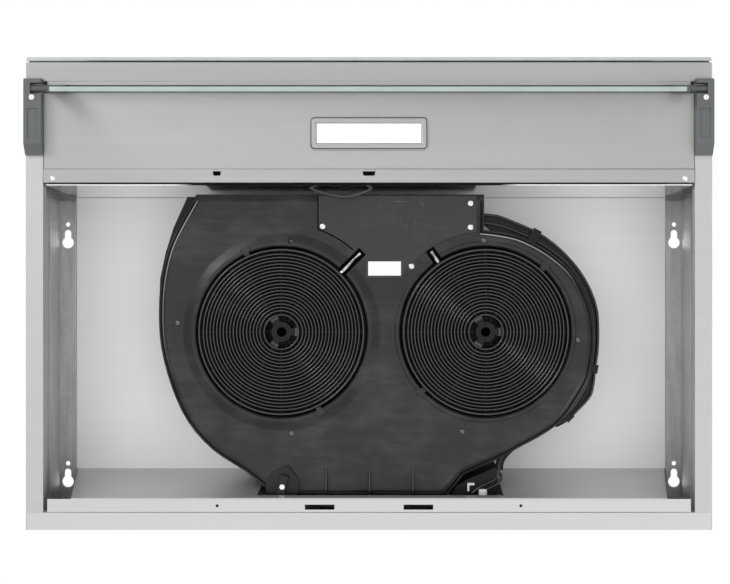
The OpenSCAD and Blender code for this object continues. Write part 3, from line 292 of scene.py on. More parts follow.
def brushed(name, color=(0.57, 0.57, 0.565), rough=0.55, streak=0.05, metal=0.8, shade=None):
    """Metal whose tone is half fine scratches and half broad bands and clouds. Between the two places
    of a shade, along X in metres, its cut edges are painted dark, as a painted reflection of the blower."""
    f = Finish(name, color, rough, metal)
    along_x = f.noise(1.0, 4.0, (SCRATCH_LONG, SCRATCH_FINE, SCRATCH_FINE))
    along_y = f.noise(1.0, 4.0, (SCRATCH_FINE, SCRATCH_LONG, SCRATCH_FINE))
    sideways = f.facing("X")
    scratch = along_x * (1 - sideways) + along_y * sideways
    band = f.noise(1.0, 2.0, (3, 60, 60))
    cloud = f.noise(9.0, 3.0)
    tone = (scratch * 0.5 + band * 0.3 + cloud * 0.2).above(0.35, 0.65)
    base = f.mix(tone, toned(color, 1 - streak), toned(color, 1 + streak * 0.6))
    if shade:
        # Painted reflection: cut edges facing Z between the two places are painted near black.
        painted_reflection_edge = f.facing("Z") * f.along("X").between(*shade, SHADE_SOFT)
        base = f.mix(painted_reflection_edge, base, (0.01, 0.01, 0.01))
    f.set("Base Color", base)
    f.set("Roughness", scratch * 0.08 + cloud * 0.06 + (rough - 0.07))
    f.relief(scratch, 0.000006, 0.0006)
    return f.material


STEEL = brushed("brushed_stainless")
SIDE = brushed("side_stainless", (0.51, 0.51, 0.505))
FRONT = brushed("satin_front", (0.405, 0.405, 0.4))
LINER = brushed("bright_liner", (0.92, 0.92, 0.915), 0.6, 0.03, 0.2)
# The polished wall's cut edges over the blower are painted dark: a painted reflection of the blower.
WALL = brushed("polished_wall", (0.95, 0.95, 0.95), 0.1, 0.03, 1.0, (-0.215, 0.165))
REAR = brushed("shaded_rail", (0.56, 0.56, 0.56), 0.36, 0.08)
print("finishes so far:", len(bpy.data.materials))

# %% [markdown]
# ## Galvanised sheet
#
# The side rails are plain zinc-coated steel. Zinc sets in flat crystals, so the sheet shows faint
# angular patches of different greys, and handling leaves soft streaks down its length. Voronoi cells
# have the crystals' straight sides, and a stretched noise makes the streaks.

# %% Galvanised steel
def galvanised(name, color, rough):
    """Metal whose tone is mostly streaks, with a little of crystal patches and of clouds."""
    f = Finish(name, color, rough, metal=0.75)
    patch = f.node("ShaderNodeSeparateColor", {}, {0: f.cells(160.0, "Color")}, "Red")
    streak = f.noise(1.0, 4.0, (260, 14, 260))
    cloud = f.noise(26.0, 4.0)
    tone = (patch * 0.12 + streak * 0.7 + cloud * 0.18).above(0.3, 0.7)
    f.set("Base Color", f.mix(tone, toned(color, 0.8), toned(color, 1.15)))
    f.set("Roughness", patch * 0.06 + streak * 0.12 + (rough - 0.09))
    f.relief(cloud, 0.00002, 0.0005)
    return f.material


ZINC = galvanised("galvanised_sheet", (0.54, 0.545, 0.545), 0.5)
MOTOR = galvanised("plated_shell", (0.52, 0.52, 0.51), 0.38)
print("finishes so far:", len(bpy.data.materials))

# %% [markdown]
# ## Moulded plastics
#
# The blower is black polypropylene: satin, slightly uneven, and a little dusty where air has passed.
# Fine grain comes from noise at a fraction of a millimetre and flow marks from slow clouds. A moulding
# is never quite flat, so a long swell in the bump bends the reflections over each face, and its
# edges are rounded in the shader because a moulding never has a sharp one.
#
# The blower's two mouldings meet in a seam: a black groove over a bead with a painted highlight, pale
# on the side toward the key lamp. Both are only about a millimetre high, so they are masks by height
# and not shapes.

# %% Seam of two mouldings
SEAM_SOFT = 0.0003
SEAM_END = 0.004
# The painted highlight on the bead: the side it faces, toward the key lamp, and its pale colour.
PAINTED_HIGHLIGHT_SIDE = (-0.35, -0.9, -0.25)
PAINTED_HIGHLIGHT_COLOR = (0.42, 0.42, 0.43)
BEAD_RISE, GROOVE_DEPTH = 0.0008, 0.0012


def seam_lines(f, low, high, front):
    """The groove between two heights and the bead just below it, as masks. Both end at a place along Y."""
    z, behind = f.along("Z"), f.along("Y").above(front, front + SEAM_END)
    bead = z.between(low - 3 * SEAM_SOFT, low, SEAM_SOFT)
    return z.between(low, high, SEAM_SOFT) * behind, bead * behind


def painted_highlight_mask(f):
    """Painted highlight: 1 where the surface faces the lit side. It is the dot product of its normal
    and that direction.
    """
    inputs = {0: f.normal(), 1: PAINTED_HIGHLIGHT_SIDE}
    share = f.node("ShaderNodeVectorMath", {"operation": "DOT_PRODUCT"}, inputs, "Value")
    return share.above(0.25, 0.55)


# %% Plastic
def moulded(name, color, rough=0.45, grain=0.00003, dust=0.25, edge=0.0005, swell=0.0, shine=0.5,
            seam=None):
    """Plastic with a fine grain, slow patches of gloss, pale dust in its clouds, and a swell in metres.
    A seam is the two heights of its groove and the place along Y where it ends, in metres."""
    f = Finish(name, color, rough, Specular_IOR_Level=shine)
    fine = f.noise(2600.0, 2.0)
    cloud = f.noise(22.0, 4.0)
    smear = f.noise(1.0, 3.0, (30, 110, 60))
    dusty = (cloud * 0.6 + smear * 0.4).above(0.45, 0.75)
    pale = tuple(c + (0.22 - c) * dust for c in color)
    base = f.mix(dusty, color, pale)
    gloss = cloud * 0.16 + fine * 0.06 + (rough - 0.11)
    height = fine * grain
    if swell:
        height = height + f.noise(13.0, 1.0) * swell
    if seam:
        groove, bead = seam_lines(f, *seam)
        # Painted highlight: the bead is painted pale where it faces the key lamp.
        base = f.mix(bead * painted_highlight_mask(f), base, PAINTED_HIGHLIGHT_COLOR)
        base = f.mix(groove, base, (0.0, 0.0, 0.0))
        gloss = gloss + groove * 0.5
        height = height + bead * BEAD_RISE - groove * GROOVE_DEPTH
    f.set("Base Color", base)
    f.set("Roughness", gloss)
    f.relief(height, 1.0, edge)
    return f.material


# %% Plastics and rubber
BLACK = moulded("black_polypropylene", (0.012, 0.0125, 0.013), 0.38, dust=0.15, swell=0.006, shine=0.34,
                seam=(-0.0989, -0.0975, -0.168))
# A darker copy of the black plastic for parts that lie in shade: painted shade.
SHADED_BLACK = moulded("black_in_painted_shade", (0.004, 0.004, 0.0045), 0.45, dust=0.02, shine=0.22)
# Matt black that stands for painted shade in slots, gaps and bores.
DEEP_SHADE = moulded("painted_deep_shade", (0.001, 0.001, 0.001), 0.9, dust=0.0, shine=0.05)
GRILLE = moulded("filter_grille_plastic", (0.006, 0.006, 0.0065), 0.22, dust=0.03, edge=0.0, shine=0.75)
WHEEL = moulded("impeller_plastic", (0.02, 0.02, 0.022), 0.4)
KNOB = moulded("knob_plastic", (0.006, 0.006, 0.0065), 0.36, dust=0.03, shine=0.3)
BRACKET = moulded("grey_acetal", (0.10, 0.107, 0.113), 0.5, dust=0.05)
CONNECTOR = moulded("pale_acetal", (0.7, 0.7, 0.7), 0.45, dust=0.0)
JAW = moulded("dark_acetal", (0.07, 0.075, 0.078), 0.4, dust=0.05)
RUBBER = moulded("soft_rubber", (0.016, 0.016, 0.016), 0.62, grain=0.00006)
JACKET = moulded("cable_jacket", (0.01, 0.01, 0.011), 0.28, dust=0.05)
LEAD = moulded("lead_jacket", (0.06, 0.06, 0.06), 0.35, dust=0.0)
WHITE_PLASTIC = moulded("white_nylon", (0.72, 0.72, 0.70), 0.35, dust=0.0)
GREY_CASE = moulded("capacitor_case", (0.55, 0.55, 0.53), 0.4, dust=0.05)
FLAP = moulded("flap_plastic", (0.06, 0.06, 0.064), 0.45)
print("finishes so far:", len(bpy.data.materials))

# %% [markdown]
# ## Coated plate, zinc screws and bright strip
#
# The plate between the lobes is steel with a dark coating. Light scuffs and a few hair-thin scratches
# show where fingers and tools have rubbed it. A scratch is where a squeezed noise passes its middle
# value, because that is a thin wandering line. The screws are bright zinc with slight stains.

# %% Small metals
def coated(name, color):
    """Dark coated steel with scuffs, and scratches where a fine squeezed noise passes its middle."""
    f = Finish(name, color, 0.38, metal=0.1, Specular_IOR_Level=0.4)
    cloud = f.noise(14.0, 4.0)
    scuff = f.noise(1.0, 6.0, (40, 420, 90)).above(0.62, 0.72) * cloud.above(0.45, 0.7)
    vein = (f.noise(1.0, 1.0, (190, 34, 34)) - 0.5).math("ABSOLUTE")
    scratch = (1 - vein.above(0.0, 0.006)) * f.noise(30.0, 1.0).above(0.52, 0.6)
    f.set("Base Color", f.mix(scuff * 0.5 + cloud * 0.18 + scratch * 0.45, color, (0.11, 0.11, 0.11)))
    f.set("Roughness", cloud * 0.18 + 0.3)
    f.relief(f.noise(1500.0) * 0.00002 + f.noise(11.0, 1.0) * 0.003, 1.0, 0.0003)
    return f.material


def plated(name, color, rough):
    """Bright zinc plating with slight stains."""
    f = Finish(name, color, rough, metal=1.0)
    cloud = f.noise(400.0, 3.0)
    f.set("Base Color", f.mix(cloud.above(0.35, 0.7), toned(color, 0.85), color))
    f.set("Roughness", cloud * 0.2 + (rough - 0.08))
    f.relief(cloud, 0.00002, 0.0002)
    return f.material


PLATE = coated("coated_plate", (0.014, 0.0145, 0.015))
SCREW = plated("zinc_plating", (0.82, 0.82, 0.81), 0.3)
SPRING = plated("spring_strip", (0.5, 0.5, 0.49), 0.3)
ROD = plated("ground_rod", (0.6, 0.6, 0.6), 0.16)
DULL = plated("dull_screw", (0.16, 0.16, 0.16), 0.4)
print("finishes so far:", len(bpy.data.materials))

# %% [markdown]
# ## Glass
#
# Float glass is clear through its faces, and green along its edge, where light has passed through far
# more of it. A path tracer would need many bounces to find that green, so the edge is a finish of its
# own: frosted and green, with a weak painted glow so that it stays bright in shade.

# %% Glass
def glass(name, tint, rough=0.02, bend=1.2):
    """Clear glass with slight smears. It bends light less than float glass, as a thin pane seems to."""
    f = Finish(name, tint, rough, Transmission_Weight=1.0, IOR=bend)
    smear = f.noise(30.0, 3.0)
    f.set("Roughness", smear * 0.04 + rough)
    return f.material


def ground_edge(name, color):
    """Frosted green edge of a pane, with a weak painted glow."""
    # Painted glow: a weak light of its own keeps the edge bright in shade.
    f = Finish(name, color, 0.3, Emission_Strength=0.1)
    cloud = f.noise(60.0, 3.0)
    f.set("Base Color", f.mix(cloud.above(0.3, 0.7), toned(color, 0.9), color))
    f.set("Emission Color", (*color, 1))
    f.set("Roughness", cloud * 0.1 + 0.25)
    return f.material


FASCIA = glass("fascia_glass", (0.92, 0.97, 0.95))
VISOR = glass("visor_glass", (0.93, 0.985, 0.97))
EDGE = ground_edge("ground_edge", (0.38, 0.46, 0.435))
PALE_EDGE = ground_edge("polished_edge", (0.44, 0.47, 0.46))
print("finishes so far:", len(bpy.data.materials))

# %% [markdown]
# ## Lens, label, charcoal and board
#
# The lamp's lens is opal and glows a little. The label is bare white paper. Behind the grilles lie
# crushed grains of charcoal, and the cells of a Voronoi texture look like them, their borders darkened
# as painted shade between the grains. The boards are green, with tracks that stand up under the lacquer.

# %% Lens and label
def opal(name, color, glow):
    """White diffusing plastic with a weak light of its own."""
    f = Finish(name, color, 0.3, Emission_Strength=glow)
    soft = f.noise(40.0, 2.0)
    f.set("Base Color", f.mix(soft, toned(color, 0.97), color))
    f.set("Emission Color", WHITE)
    f.relief(f.noise(900.0), 0.00002, 0.0003)
    return f.material


def paper(name, color):
    """Matt paper with its fibres."""
    f = Finish(name, color, 0.6)
    fibre = f.noise(1800.0, 4.0)
    f.set("Base Color", f.mix(fibre, toned(color, 0.93), color))
    f.relief(fibre, 0.00002)
    return f.material


LENS = opal("opal_lens", (0.88, 0.88, 0.88), 0.35)
LABEL = paper("label_paper", (0.86, 0.86, 0.85))


# %% Charcoal and board
def granules(name, color, gap_shade):
    """Charcoal grains, with their gaps darkened as painted shade."""
    f = Finish(name, color, 0.8, Specular_IOR_Level=0.05)
    grain = f.cells(420.0)
    # Painted shade: the cells' borders take the darker colour.
    f.set("Base Color", f.mix(grain.above(0.1, 0.7), color, gap_shade))
    f.relief(grain, 0.0008)
    return f.material


def lacquered(name, color, track_color):
    """Green board with the raised lines of its tracks."""
    f = Finish(name, color, 0.3)
    track = f.noise(1.0, 2.0, (300, 60, 300)).above(0.48, 0.52)
    f.set("Base Color", f.mix(track, color, track_color))
    f.relief(track, 0.00003)
    return f.material


CHARCOAL = granules("charcoal_granules", (0.012, 0.012, 0.012), (0.003, 0.003, 0.003))
BOARD = lacquered("solder_mask", (0.018, 0.10, 0.05), (0.03, 0.17, 0.09))
print("finishes so far:", len(bpy.data.materials))

# %% [markdown]
# ## Which node gets which finish
#
# Each solid of the part arrives as a node with a plain material. A table from finish to names keeps the
# pairs in one place, and what it misses is printed.

# %% Finishes of the nodes
FINISHES = {
    STEEL: ("canopy_top", "canopy_back", "filter_lip"),
    SIDE: ("canopy_side_left", "canopy_side_right"),
    FRONT: ("canopy_front", "lamp_panel", "lamp_bezel"),
    LINER: ("bay_ceiling",),
    WALL: ("bay_front",),
    REAR: ("rear_rail",),
    ZINC: ("side_rail_left", "side_rail_right"),
    MOTOR: ("motor_left", "motor_right"),
    BLACK: ("blower_cover", "outlet_collar"),
    SHADED_BLACK: ("inlet_guard_left", "inlet_guard_right", "board_carrier", "blower_housing", "diverter_vane",
           "cable_clips", "wiring_box", "mains_gland"),
    GRILLE: ("filter_left", "filter_right"),
    KNOB: ("mode_knob",),
    WHEEL: ("impeller_left", "impeller_right"),
    BRACKET: ("hinge_bracket_left", "hinge_bracket_right"),
    CONNECTOR: ("wire_connector",),
    JAW: ("visor_jaw_left", "visor_jaw_right"),
    RUBBER: ("fascia_pads", "motor_mounts"),
    JACKET: ("motor_cable_inner", "motor_cable_outer", "lamp_wire"),
    WHITE_PLASTIC: ("connector_clip",),
    GREY_CASE: ("motor_capacitor",),
    FLAP: ("flap_front", "flap_rear"),
    PLATE: ("bridge_plate",),
    SCREW: ("bracket_screws", "impeller_nut_left", "impeller_nut_right", "cover_screws", "knob_screw"),
    SPRING: ("spring_clips",),
    ROD: ("flap_rod",),
    FASCIA: ("glass_fascia",),
    VISOR: ("visor_glass",),
    LENS: ("lamp_lens",),
    LABEL: ("plate_label",),
    CHARCOAL: ("charcoal_left", "charcoal_right"),
    BOARD: ("control_board", "led_board"),
}
for material, names in FINISHES.items():
    for name in names:
        nodes[name].data.materials.clear()
        nodes[name].data.materials.append(material)
bare = sorted(set(nodes) - {name for names in FINISHES.values() for name in names})
print("finishes:", len(FINISHES), "nodes without one:", bare)

# %% [markdown]
# ## Surfaces from arrays
#
# A moulded or bent part is easiest to write as a surface: a grid of points, computed at once by numpy
# from a profile and the path that it follows. Neighbours in the grid make four-sided faces. A grid
# can close on itself round its section, along its path, or both, and an end that shrinks to one point
# closes a tube. Several grids make one piece, whose equal points are then merged.

# %% Grids and pieces
METRE = 0.001
MERGE = 1e-6
FLAT_ANGLE = math.radians(38)


def grid_faces(rows, columns, around, along):
    """Four corners for each cell of the grid, in order round it. A closed side joins the last column
    or row to the first."""
    index = np.arange(rows * columns).reshape(rows, columns)
    if around:
        index = np.hstack([index, index[:, :1]])
    if along:
        index = np.vstack([index, index[:1]])
    return np.stack([index[:-1, :-1], index[:-1, 1:], index[1:, 1:], index[1:, :-1]], -1).reshape(-1, 4)


def piece(name, grids, finish, body, *replaced):
    """One object from grids of points in millimetres, each with its two closings, riding on a body."""
    points, faces, count = [], [], 0
    for grid, around, along in grids:
        faces.append(grid_faces(*grid.shape[:2], around, along) + count)
        points.append(grid.reshape(-1, 3) * METRE)
        count += len(points[-1])
    mesh = bpy.data.meshes.new(name)
    mesh.from_pydata(np.concatenate(points), [], np.concatenate(faces))
    shape = bmesh.new()
    shape.from_mesh(mesh)
    bmesh.ops.remove_doubles(shape, verts=shape.verts, dist=MERGE)
    bmesh.ops.recalc_face_normals(shape, faces=shape.faces)
    shape.to_mesh(mesh)
    shape.free()
    mesh.polygons.foreach_set("use_smooth", np.ones(len(mesh.polygons), bool))
    mesh.set_sharp_from_angle(angle=FLAT_ANGLE)
    mesh.materials.append(finish)
    made = bpy.data.objects.new(name, mesh)
    bpy.context.scene.collection.objects.link(made)
    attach(made, body)
    if replaced:
        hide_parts(*replaced)
    print(name, "faces:", len(mesh.polygons))
    return made


def node_box(name):
    """Lowest and highest corner of a CAD node, in millimetres."""
    low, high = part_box(name)
    return np.array(low) / METRE, np.array(high) / METRE


# %% [markdown]
# ## Profiles, paths and slabs
#
# Three ways to fill a grid make every piece below. A profile turned about an upright axis makes rings,
# heads and bores. A section carried along a path makes cables, bars and strips. A slab with eased
# edges makes panes and flat strips. Hardly any real edge is sharp, so a profile's corners are cut
# round before it is used.

# %% Profiles
def rounded(corners, radius, steps=4):
    """Closed outline with its corners eased: (1-t)^2 a + 2t(1-t) p + t^2 b, where a and b lie before
    and after the corner p, at the radius or at most half a side away."""
    p = np.array(corners, float)
    reach = np.broadcast_to(np.array(radius, float), len(p))[:, None]

    def ease(side):
        length = np.linalg.norm(side, axis=1, keepdims=True)
        return p + side * np.minimum(reach / length, 0.5)

    a, b = ease(np.roll(p, 1, 0) - p)[:, None], ease(np.roll(p, -1, 0) - p)[:, None]
    t = np.linspace(0, 1, steps + 1)[None, :, None]
    return ((1 - t) ** 2 * a + 2 * t * (1 - t) * p[:, None] + t ** 2 * b).reshape(-1, 2)


def bar(half, low, high, radius, steps=3):
    """Eased rectangular section, half a width to each side and from low to high."""
    return rounded([(-half, low), (half, low), (half, high), (-half, high)], radius, steps)


def circle(radius, steps, squeeze=1.0):
    """Closed round section, (r cos a, squeeze r sin a)."""
    a = np.linspace(0, 2 * math.pi, steps, endpoint=False)
    return radius * np.stack([np.cos(a), squeeze * np.sin(a)], -1)


def turned(profile, centre, steps=144):
    """A profile of (radius, height) turned about an upright axis: (x + r cos a, y + r sin a, z)."""
    a = np.linspace(0, 2 * math.pi, steps, endpoint=False)[:, None]
    r, z = profile[None, :, 0], profile[None, :, 1]
    return np.stack([centre[0] + r * np.cos(a), centre[1] + r * np.sin(a), z + 0 * a], -1)


# %% Paths
def heading(angle):
    """Level unit vector, (cos a, sin a)."""
    return np.array([math.cos(angle), math.sin(angle)])


def level(points, height):
    """A flat path raised to one height."""
    return np.concatenate([points, np.full((len(points), 1), height)], 1)


def curve(points, steps=8):
    """Smooth curve through points. Between b and c, with a before and d after, it is
    0.5 (2b + (c-a) t + (2a-5b+4c-d) t^2 + (3b-a-3c+d) t^3)."""
    p = np.array(points, float)
    p = np.concatenate([p[:1], p, p[-1:]])[:, None]
    a, b, c, d = p[:-3], p[1:-2], p[2:-1], p[3:]
    t = (np.arange(steps) / steps)[None, :, None]
    run = 0.5 * (2 * b + (c - a) * t + (2 * a - 5 * b + 4 * c - d) * t ** 2
                 + (3 * b - a - 3 * c + d) * t ** 3)
    return np.concatenate([run.reshape(-1, p.shape[-1]), p[-1]])


def swept(path, section):
    """A section carried along a path, as a grid with its two closings: p + x s + y u, where s is square
    to the path and level, and u is square to both. The section may change along the path. Each end
    closes in a point."""
    path = np.array(path, float)
    t = np.gradient(path, axis=0)
    t /= np.linalg.norm(t, axis=1, keepdims=True)
    s = np.cross(t, (0, 0, 1))
    s /= np.linalg.norm(s, axis=1, keepdims=True)
    u = np.cross(s, t)
    x, y = np.moveaxis(np.broadcast_to(section, (len(path), *np.shape(section)[-2:])), -1, 0)
    grid = path[:, None] + x[..., None] * s[:, None] + y[..., None] * u[:, None]
    ends = np.repeat(path[[0, -1], None], grid.shape[1], 1)
    return np.concatenate([ends[:1], grid, ends[1:]]), True, False


# %% Slabs
def slab(low, high, corner, edge, steps=4):
    """Flat block with round corners and eased edges. Its outline is a rounded rectangle whose corners
    have the radius corner - i about fixed centres, where i is edge (1 - cos b) and the face is left by
    edge (1 + sin b), for b from -90 degrees to 0. Both faces close at their middles."""
    low, high = np.array(low, float), np.array(high, float)
    half, middle = (high - low) / 2, (high + low) / 2
    a = (np.arange(4)[:, None] + np.linspace(0, 1, 2 * steps + 1)).ravel() * math.pi / 2
    signs = np.repeat([[1, 1], [-1, 1], [-1, -1], [1, -1]], 2 * steps + 1, 0)
    corner = np.repeat(np.broadcast_to(np.array(corner, float), 4), 2 * steps + 1)[:, None]
    b = np.linspace(-math.pi / 2, 0, steps + 1)
    inset = edge * (1 - np.cos(b))
    inset = np.concatenate([inset, inset[::-1]])[:, None, None]
    rise = np.concatenate([edge * (1 + np.sin(b)), 2 * half[2] - edge * (1 + np.sin(b[::-1]))])
    flat = signs * (half[:2] - corner) + (corner - inset) * np.stack([np.cos(a), np.sin(a)], -1)
    height = np.broadcast_to(rise[:, None, None] - half[2], (*flat.shape[:2], 1))
    grid = np.concatenate([flat, height], -1)
    ends = np.zeros((2, grid.shape[1], 3))
    ends[:, :, 2] = np.array([[-half[2]], [half[2]]])
    return np.concatenate([ends[:1], grid, ends[1:]]) + middle


def tilted(grid, pivot, angle):
    """The grid turned by an angle about the X direction through a pivot."""
    c, s = heading(angle)
    return (grid - pivot) @ np.array([[1, 0, 0], [0, c, -s], [0, s, c]]).T + pivot


# %% [markdown]
# ## Carbon filters
#
# Each filter's face is a moulded grille of close round rings on fine spokes, with a rim outside and a
# socket in the middle whose lugs lock under the post. A moulded ring has a crown, and it is the crown
# that catches the light in two opposite quarters of the disc. So each ring is an eased profile,
# turned about the filter's axis. The spokes lie deep behind the rings, so they are a piece of their
# own, in the darker black that paints the shade they lie in.

# %% Sizes of a filter
RINGS = 19
RING_W, RING_H = 1.8, 2.6
STOUT_RING, STOUT_DROP = 9, 0.6
FACE_SUNK = 0.6
RIM_W = 2.2
SOCKET_R, SOCKET_WALL, SOCKET_SHORT = 18.5, 1.8, 3.2
SPOKES, SPOKE_HALF, SPOKE_SUNK = 12, 0.6, 4.6
LUGS, LUG_R, LUG_HALF, LUG_SUNK = 3, 15.6, 3.3, 3.6
LUG_TURN = math.radians(16)
FAN_LEFT, FAN_RIGHT = np.array([-99.0, -18.0]), np.array([131.0, -18.0])
print("rings, spokes and lugs of a filter:", RINGS - 1, SPOKES, LUGS)


# %% Filters
def ring(r0, r1, z0, z1, ease_low, ease_high, centre):
    """A rectangle from r0 to r1 and from z0 to z1, its lower and upper corners eased, turned about the
    centre."""
    ease = (ease_low, ease_low, ease_high, ease_high)
    return turned(rounded([(r0, z0), (r1, z0), (r1, z1), (r0, z1)], ease, 3), centre), True, True


def spoke(centre, radius, height, angle):
    """A bar along centre + r (cos a, sin a), from just outside the socket to just inside the rim."""
    reach = np.linspace(SOCKET_R + 1, radius - 1, 12)[:, None]
    return swept(level(centre + reach * heading(angle), height), bar(SPOKE_HALF, -2.1, 1.1, 0.4))


def lug(centre, height, angle):
    """A short bar bent round the inside of the socket, along centre + R (cos t, sin t) for t near the
    angle, where R is the lugs' own radius."""
    turn = np.linspace(angle - LUG_TURN, angle + LUG_TURN, 10)
    arc = centre + LUG_R * np.stack([np.cos(turn), np.sin(turn)], -1)
    return swept(level(arc, height), bar(LUG_HALF, -1, 1, 0.5))


def filter_grids(node, guard):
    """The rings and lugs of one filter, inside the box of its CAD node, and then its spokes. The middle
    of ring k lies k pitches outside the socket."""
    low, high = node_box(node)
    centre, radius = (low + high)[:2] / 2, (high - low)[0] / 2
    face = low[2] + FACE_SUNK
    first = SOCKET_R + SOCKET_WALL
    pitch = (radius - RIM_W - first) / RINGS
    grids = [ring(radius - RIM_W, radius, face, high[2], 0.9, 0.3, centre),
             ring(SOCKET_R, first, face, high[2] - SOCKET_SHORT, 0.8, 0.3, centre)]
    for k in range(1, RINGS):
        r, drop = first + pitch * k, STOUT_DROP * (k == STOUT_RING)
        grids.append(ring(r - RING_W / 2, r + RING_W / 2, face - drop, face + RING_H, 0.9, 0.4, centre))
    lug_z = node_box(guard)[0][2] + LUG_SUNK
    grids += [lug(centre, lug_z, k * 2 * math.pi / LUGS) for k in range(LUGS)]
    spokes = [spoke(centre, radius, face + SPOKE_SUNK, k * 2 * math.pi / SPOKES) for k in range(SPOKES)]
    return grids, spokes


for side in ("left", "right"):
    rings, spokes = filter_grids(f"filter_{side}", f"inlet_guard_{side}")
    piece(f"filter_grille_{side}", rings, GRILLE, f"carbon_{side}", f"filter_{side}")
    # The spokes take the darker black: painted shade.
    piece(f"filter_spokes_{side}", spokes, SHADED_BLACK, f"carbon_{side}")

# %% [markdown]
# ## Cables and the lamp's wire
#
# The motors' cables run round the right lobe in clips. Their jackets are round and soft, so each is a
# circle carried along the same route as the CAD tube, with many more sides. The lamp's wire sags
# between two holes of the front inner wall. Behind the right lobe the two cables share a flat sleeve in
# two places, and their tails run on to the rear panel.

# %% Cables
CABLE_R, CABLE_Z = 1.5, -90.0
# Each point is x, y and the rise above CABLE_Z.
INNER = [(130.5, -142, 0), (149, -138.5, 0), (168, -131.5, 0), (186, -123.5, 0), (209.5, -108.5, 0),
         (230, -90, 0), (243.8, -67, 0), (252.8, -44.5, 0), (255.8, -21.5, 0), (255.6, 2, 0),
         (252.8, 24, 0), (248.5, 39, 0), (239, 57, 0), (224.5, 77, 0), (210.5, 86.5, 0),
         (195, 96.5, 0), (167, 112.5, 0), (156, 119.5, 0), (149.5, 127, 0), (147, 137.5, 0)]
OUTER = [(130.5, -151, 0), (147, -149, 0), (165, -142, 0), (190, -131, 0), (213, -115, 0),
         (235, -92, 0), (250, -68, 0), (258.5, -43.5, 0), (260.2, -21, 0), (259.6, 3, 0),
         (256.6, 24.7, 0), (254.8, 42, 0), (249.5, 58, 0), (227.5, 79.8, 0), (211.5, 89, 3.2),
         (195.5, 98, 3.4), (167.5, 113.5, 3.4), (156.5, 120.5, 3.4), (150, 128.5, 3.4),
         (147, 140.5, 3.4)]

for name, route in (("inner", INNER), ("outer", OUTER)):
    run = curve(np.array(route) + [0, 0, CABLE_Z])
    piece(f"cable_{name}", [swept(run, circle(CABLE_R, 20))], JACKET, "canopy", f"motor_cable_{name}")

# %% Lamp's wire
WIRE_R = 1.1
WIRE_AT = np.array([0, -182, -100])
WIRE = [(-76, -2, 0), (-66, 2, -3), (-55, 6.5, -6), (-42, 10, -9), (-28, 11.8, -10), (-14, 9.8, -9),
        (-3, 4.8, -5), (8, -2, 0)]

piece("lamp_lead", [swept(curve(WIRE + WIRE_AT), circle(WIRE_R, 16))], LEAD, "canopy", "lamp_wire")

# %% Sleeve and tails
SLEEVE_SECTION = circle(4.6, 20, 0.3)
SLEEVE_LIFT = 1.2
SLEEVE_END = [(162, 114, -88), (154, 122, -88), (149, 130, -88), (147.5, 140, -88)]
TAILS = [[(147, 137.5, -90), (146, 146, -92), (139, 152, -94), (128, 157, -94.5), (116, 166, -94)],
         [(147, 140.5, -86.6), (150, 148, -91), (144, 156, -94), (134, 161, -94.5), (124, 168, -94)]]

middle = (np.array(INNER)[11:15] + np.array(OUTER)[11:15]) / 2 + [0, 0, CABLE_Z + SLEEVE_LIFT]
# The sleeve takes the darker black of painted shade.
piece("cable_sleeve", [swept(curve(run), SLEEVE_SECTION) for run in (middle, SLEEVE_END)], SHADED_BLACK, "canopy")
piece("cable_tails", [swept(curve(run), circle(CABLE_R, 16)) for run in TAILS], JACKET, "canopy")

# %% [markdown]
# ## Glass panes
#
# The edges of a real pane are ground and polished round. A sharp box would show a hard line where the
# photograph shows a soft pale band, so each pane is a slab with eased edges. The visor hangs a little
# aslant, so its slab is built upright about the hinge and then turned. Faces that look out of a pane's
# edge get the green finish. Clear glass would cast the shadow of a solid block here, so it casts none.

# %% Panes
HINGE = np.array([0.0, -287.0, -134.5])
VISOR_LEAN = math.radians(10)
VISOR_HALF, VISOR_T = 341.5, 5.0
VISOR_TOP, VISOR_REACH = 4.5, 82.0
VISOR_CORNER, FASCIA_CORNER = 50.0, 3.0
PANE_EDGE = 1.0
FACE_SHARE = 0.9


def pane(low, high, edge, foot):
    """A pane that stands upright and faces Y: a slab made flat, and then its Y and Z exchanged. Its two
    lower corners have their own radius."""
    low, high = (np.array(corner)[[0, 2, 1]] for corner in (low, high))
    return slab(low, high, (2 * edge, 2 * edge, foot, foot), edge, 8)[..., [0, 2, 1]]


upright = pane((-VISOR_HALF, HINGE[1] - VISOR_T / 2, HINGE[2] - VISOR_REACH),
               (VISOR_HALF, HINGE[1] + VISOR_T / 2, HINGE[2] - VISOR_TOP), PANE_EDGE, VISOR_CORNER)
front = pane(*node_box("glass_fascia"), PANE_EDGE, FASCIA_CORNER)
visor = piece("visor_pane", [(tilted(upright, HINGE, VISOR_LEAN), True, False)], VISOR, "visor",
              "visor_glass")
fascia = piece("fascia_pane", [(front, True, False)], FASCIA, "canopy", "glass_fascia")

# %% Their edges
for made, lean, finish in ((visor, VISOR_LEAN, EDGE), (fascia, 0.0, PALE_EDGE)):
    across = np.array([0, *heading(lean)])
    normals = np.empty(3 * len(made.data.polygons))
    made.data.polygons.foreach_get("normal", normals)
    at_edge = np.abs(normals.reshape(-1, 3) @ across) < FACE_SHARE
    made.data.materials.append(finish)
    made.visible_shadow = False
    made.data.polygons.foreach_set("material_index", at_edge.astype(np.int32))
    print(made.name, "edge faces:", int(at_edge.sum()))

# %% [markdown]
# ## Lamp bezel
#
# The bezel is a bright frame round the lens. Its outline shows as two fine lines: the gap to the panel
# and a pressed groove just inside it. So its section is a list of insets and heights, carried round a
# rounded rectangle.

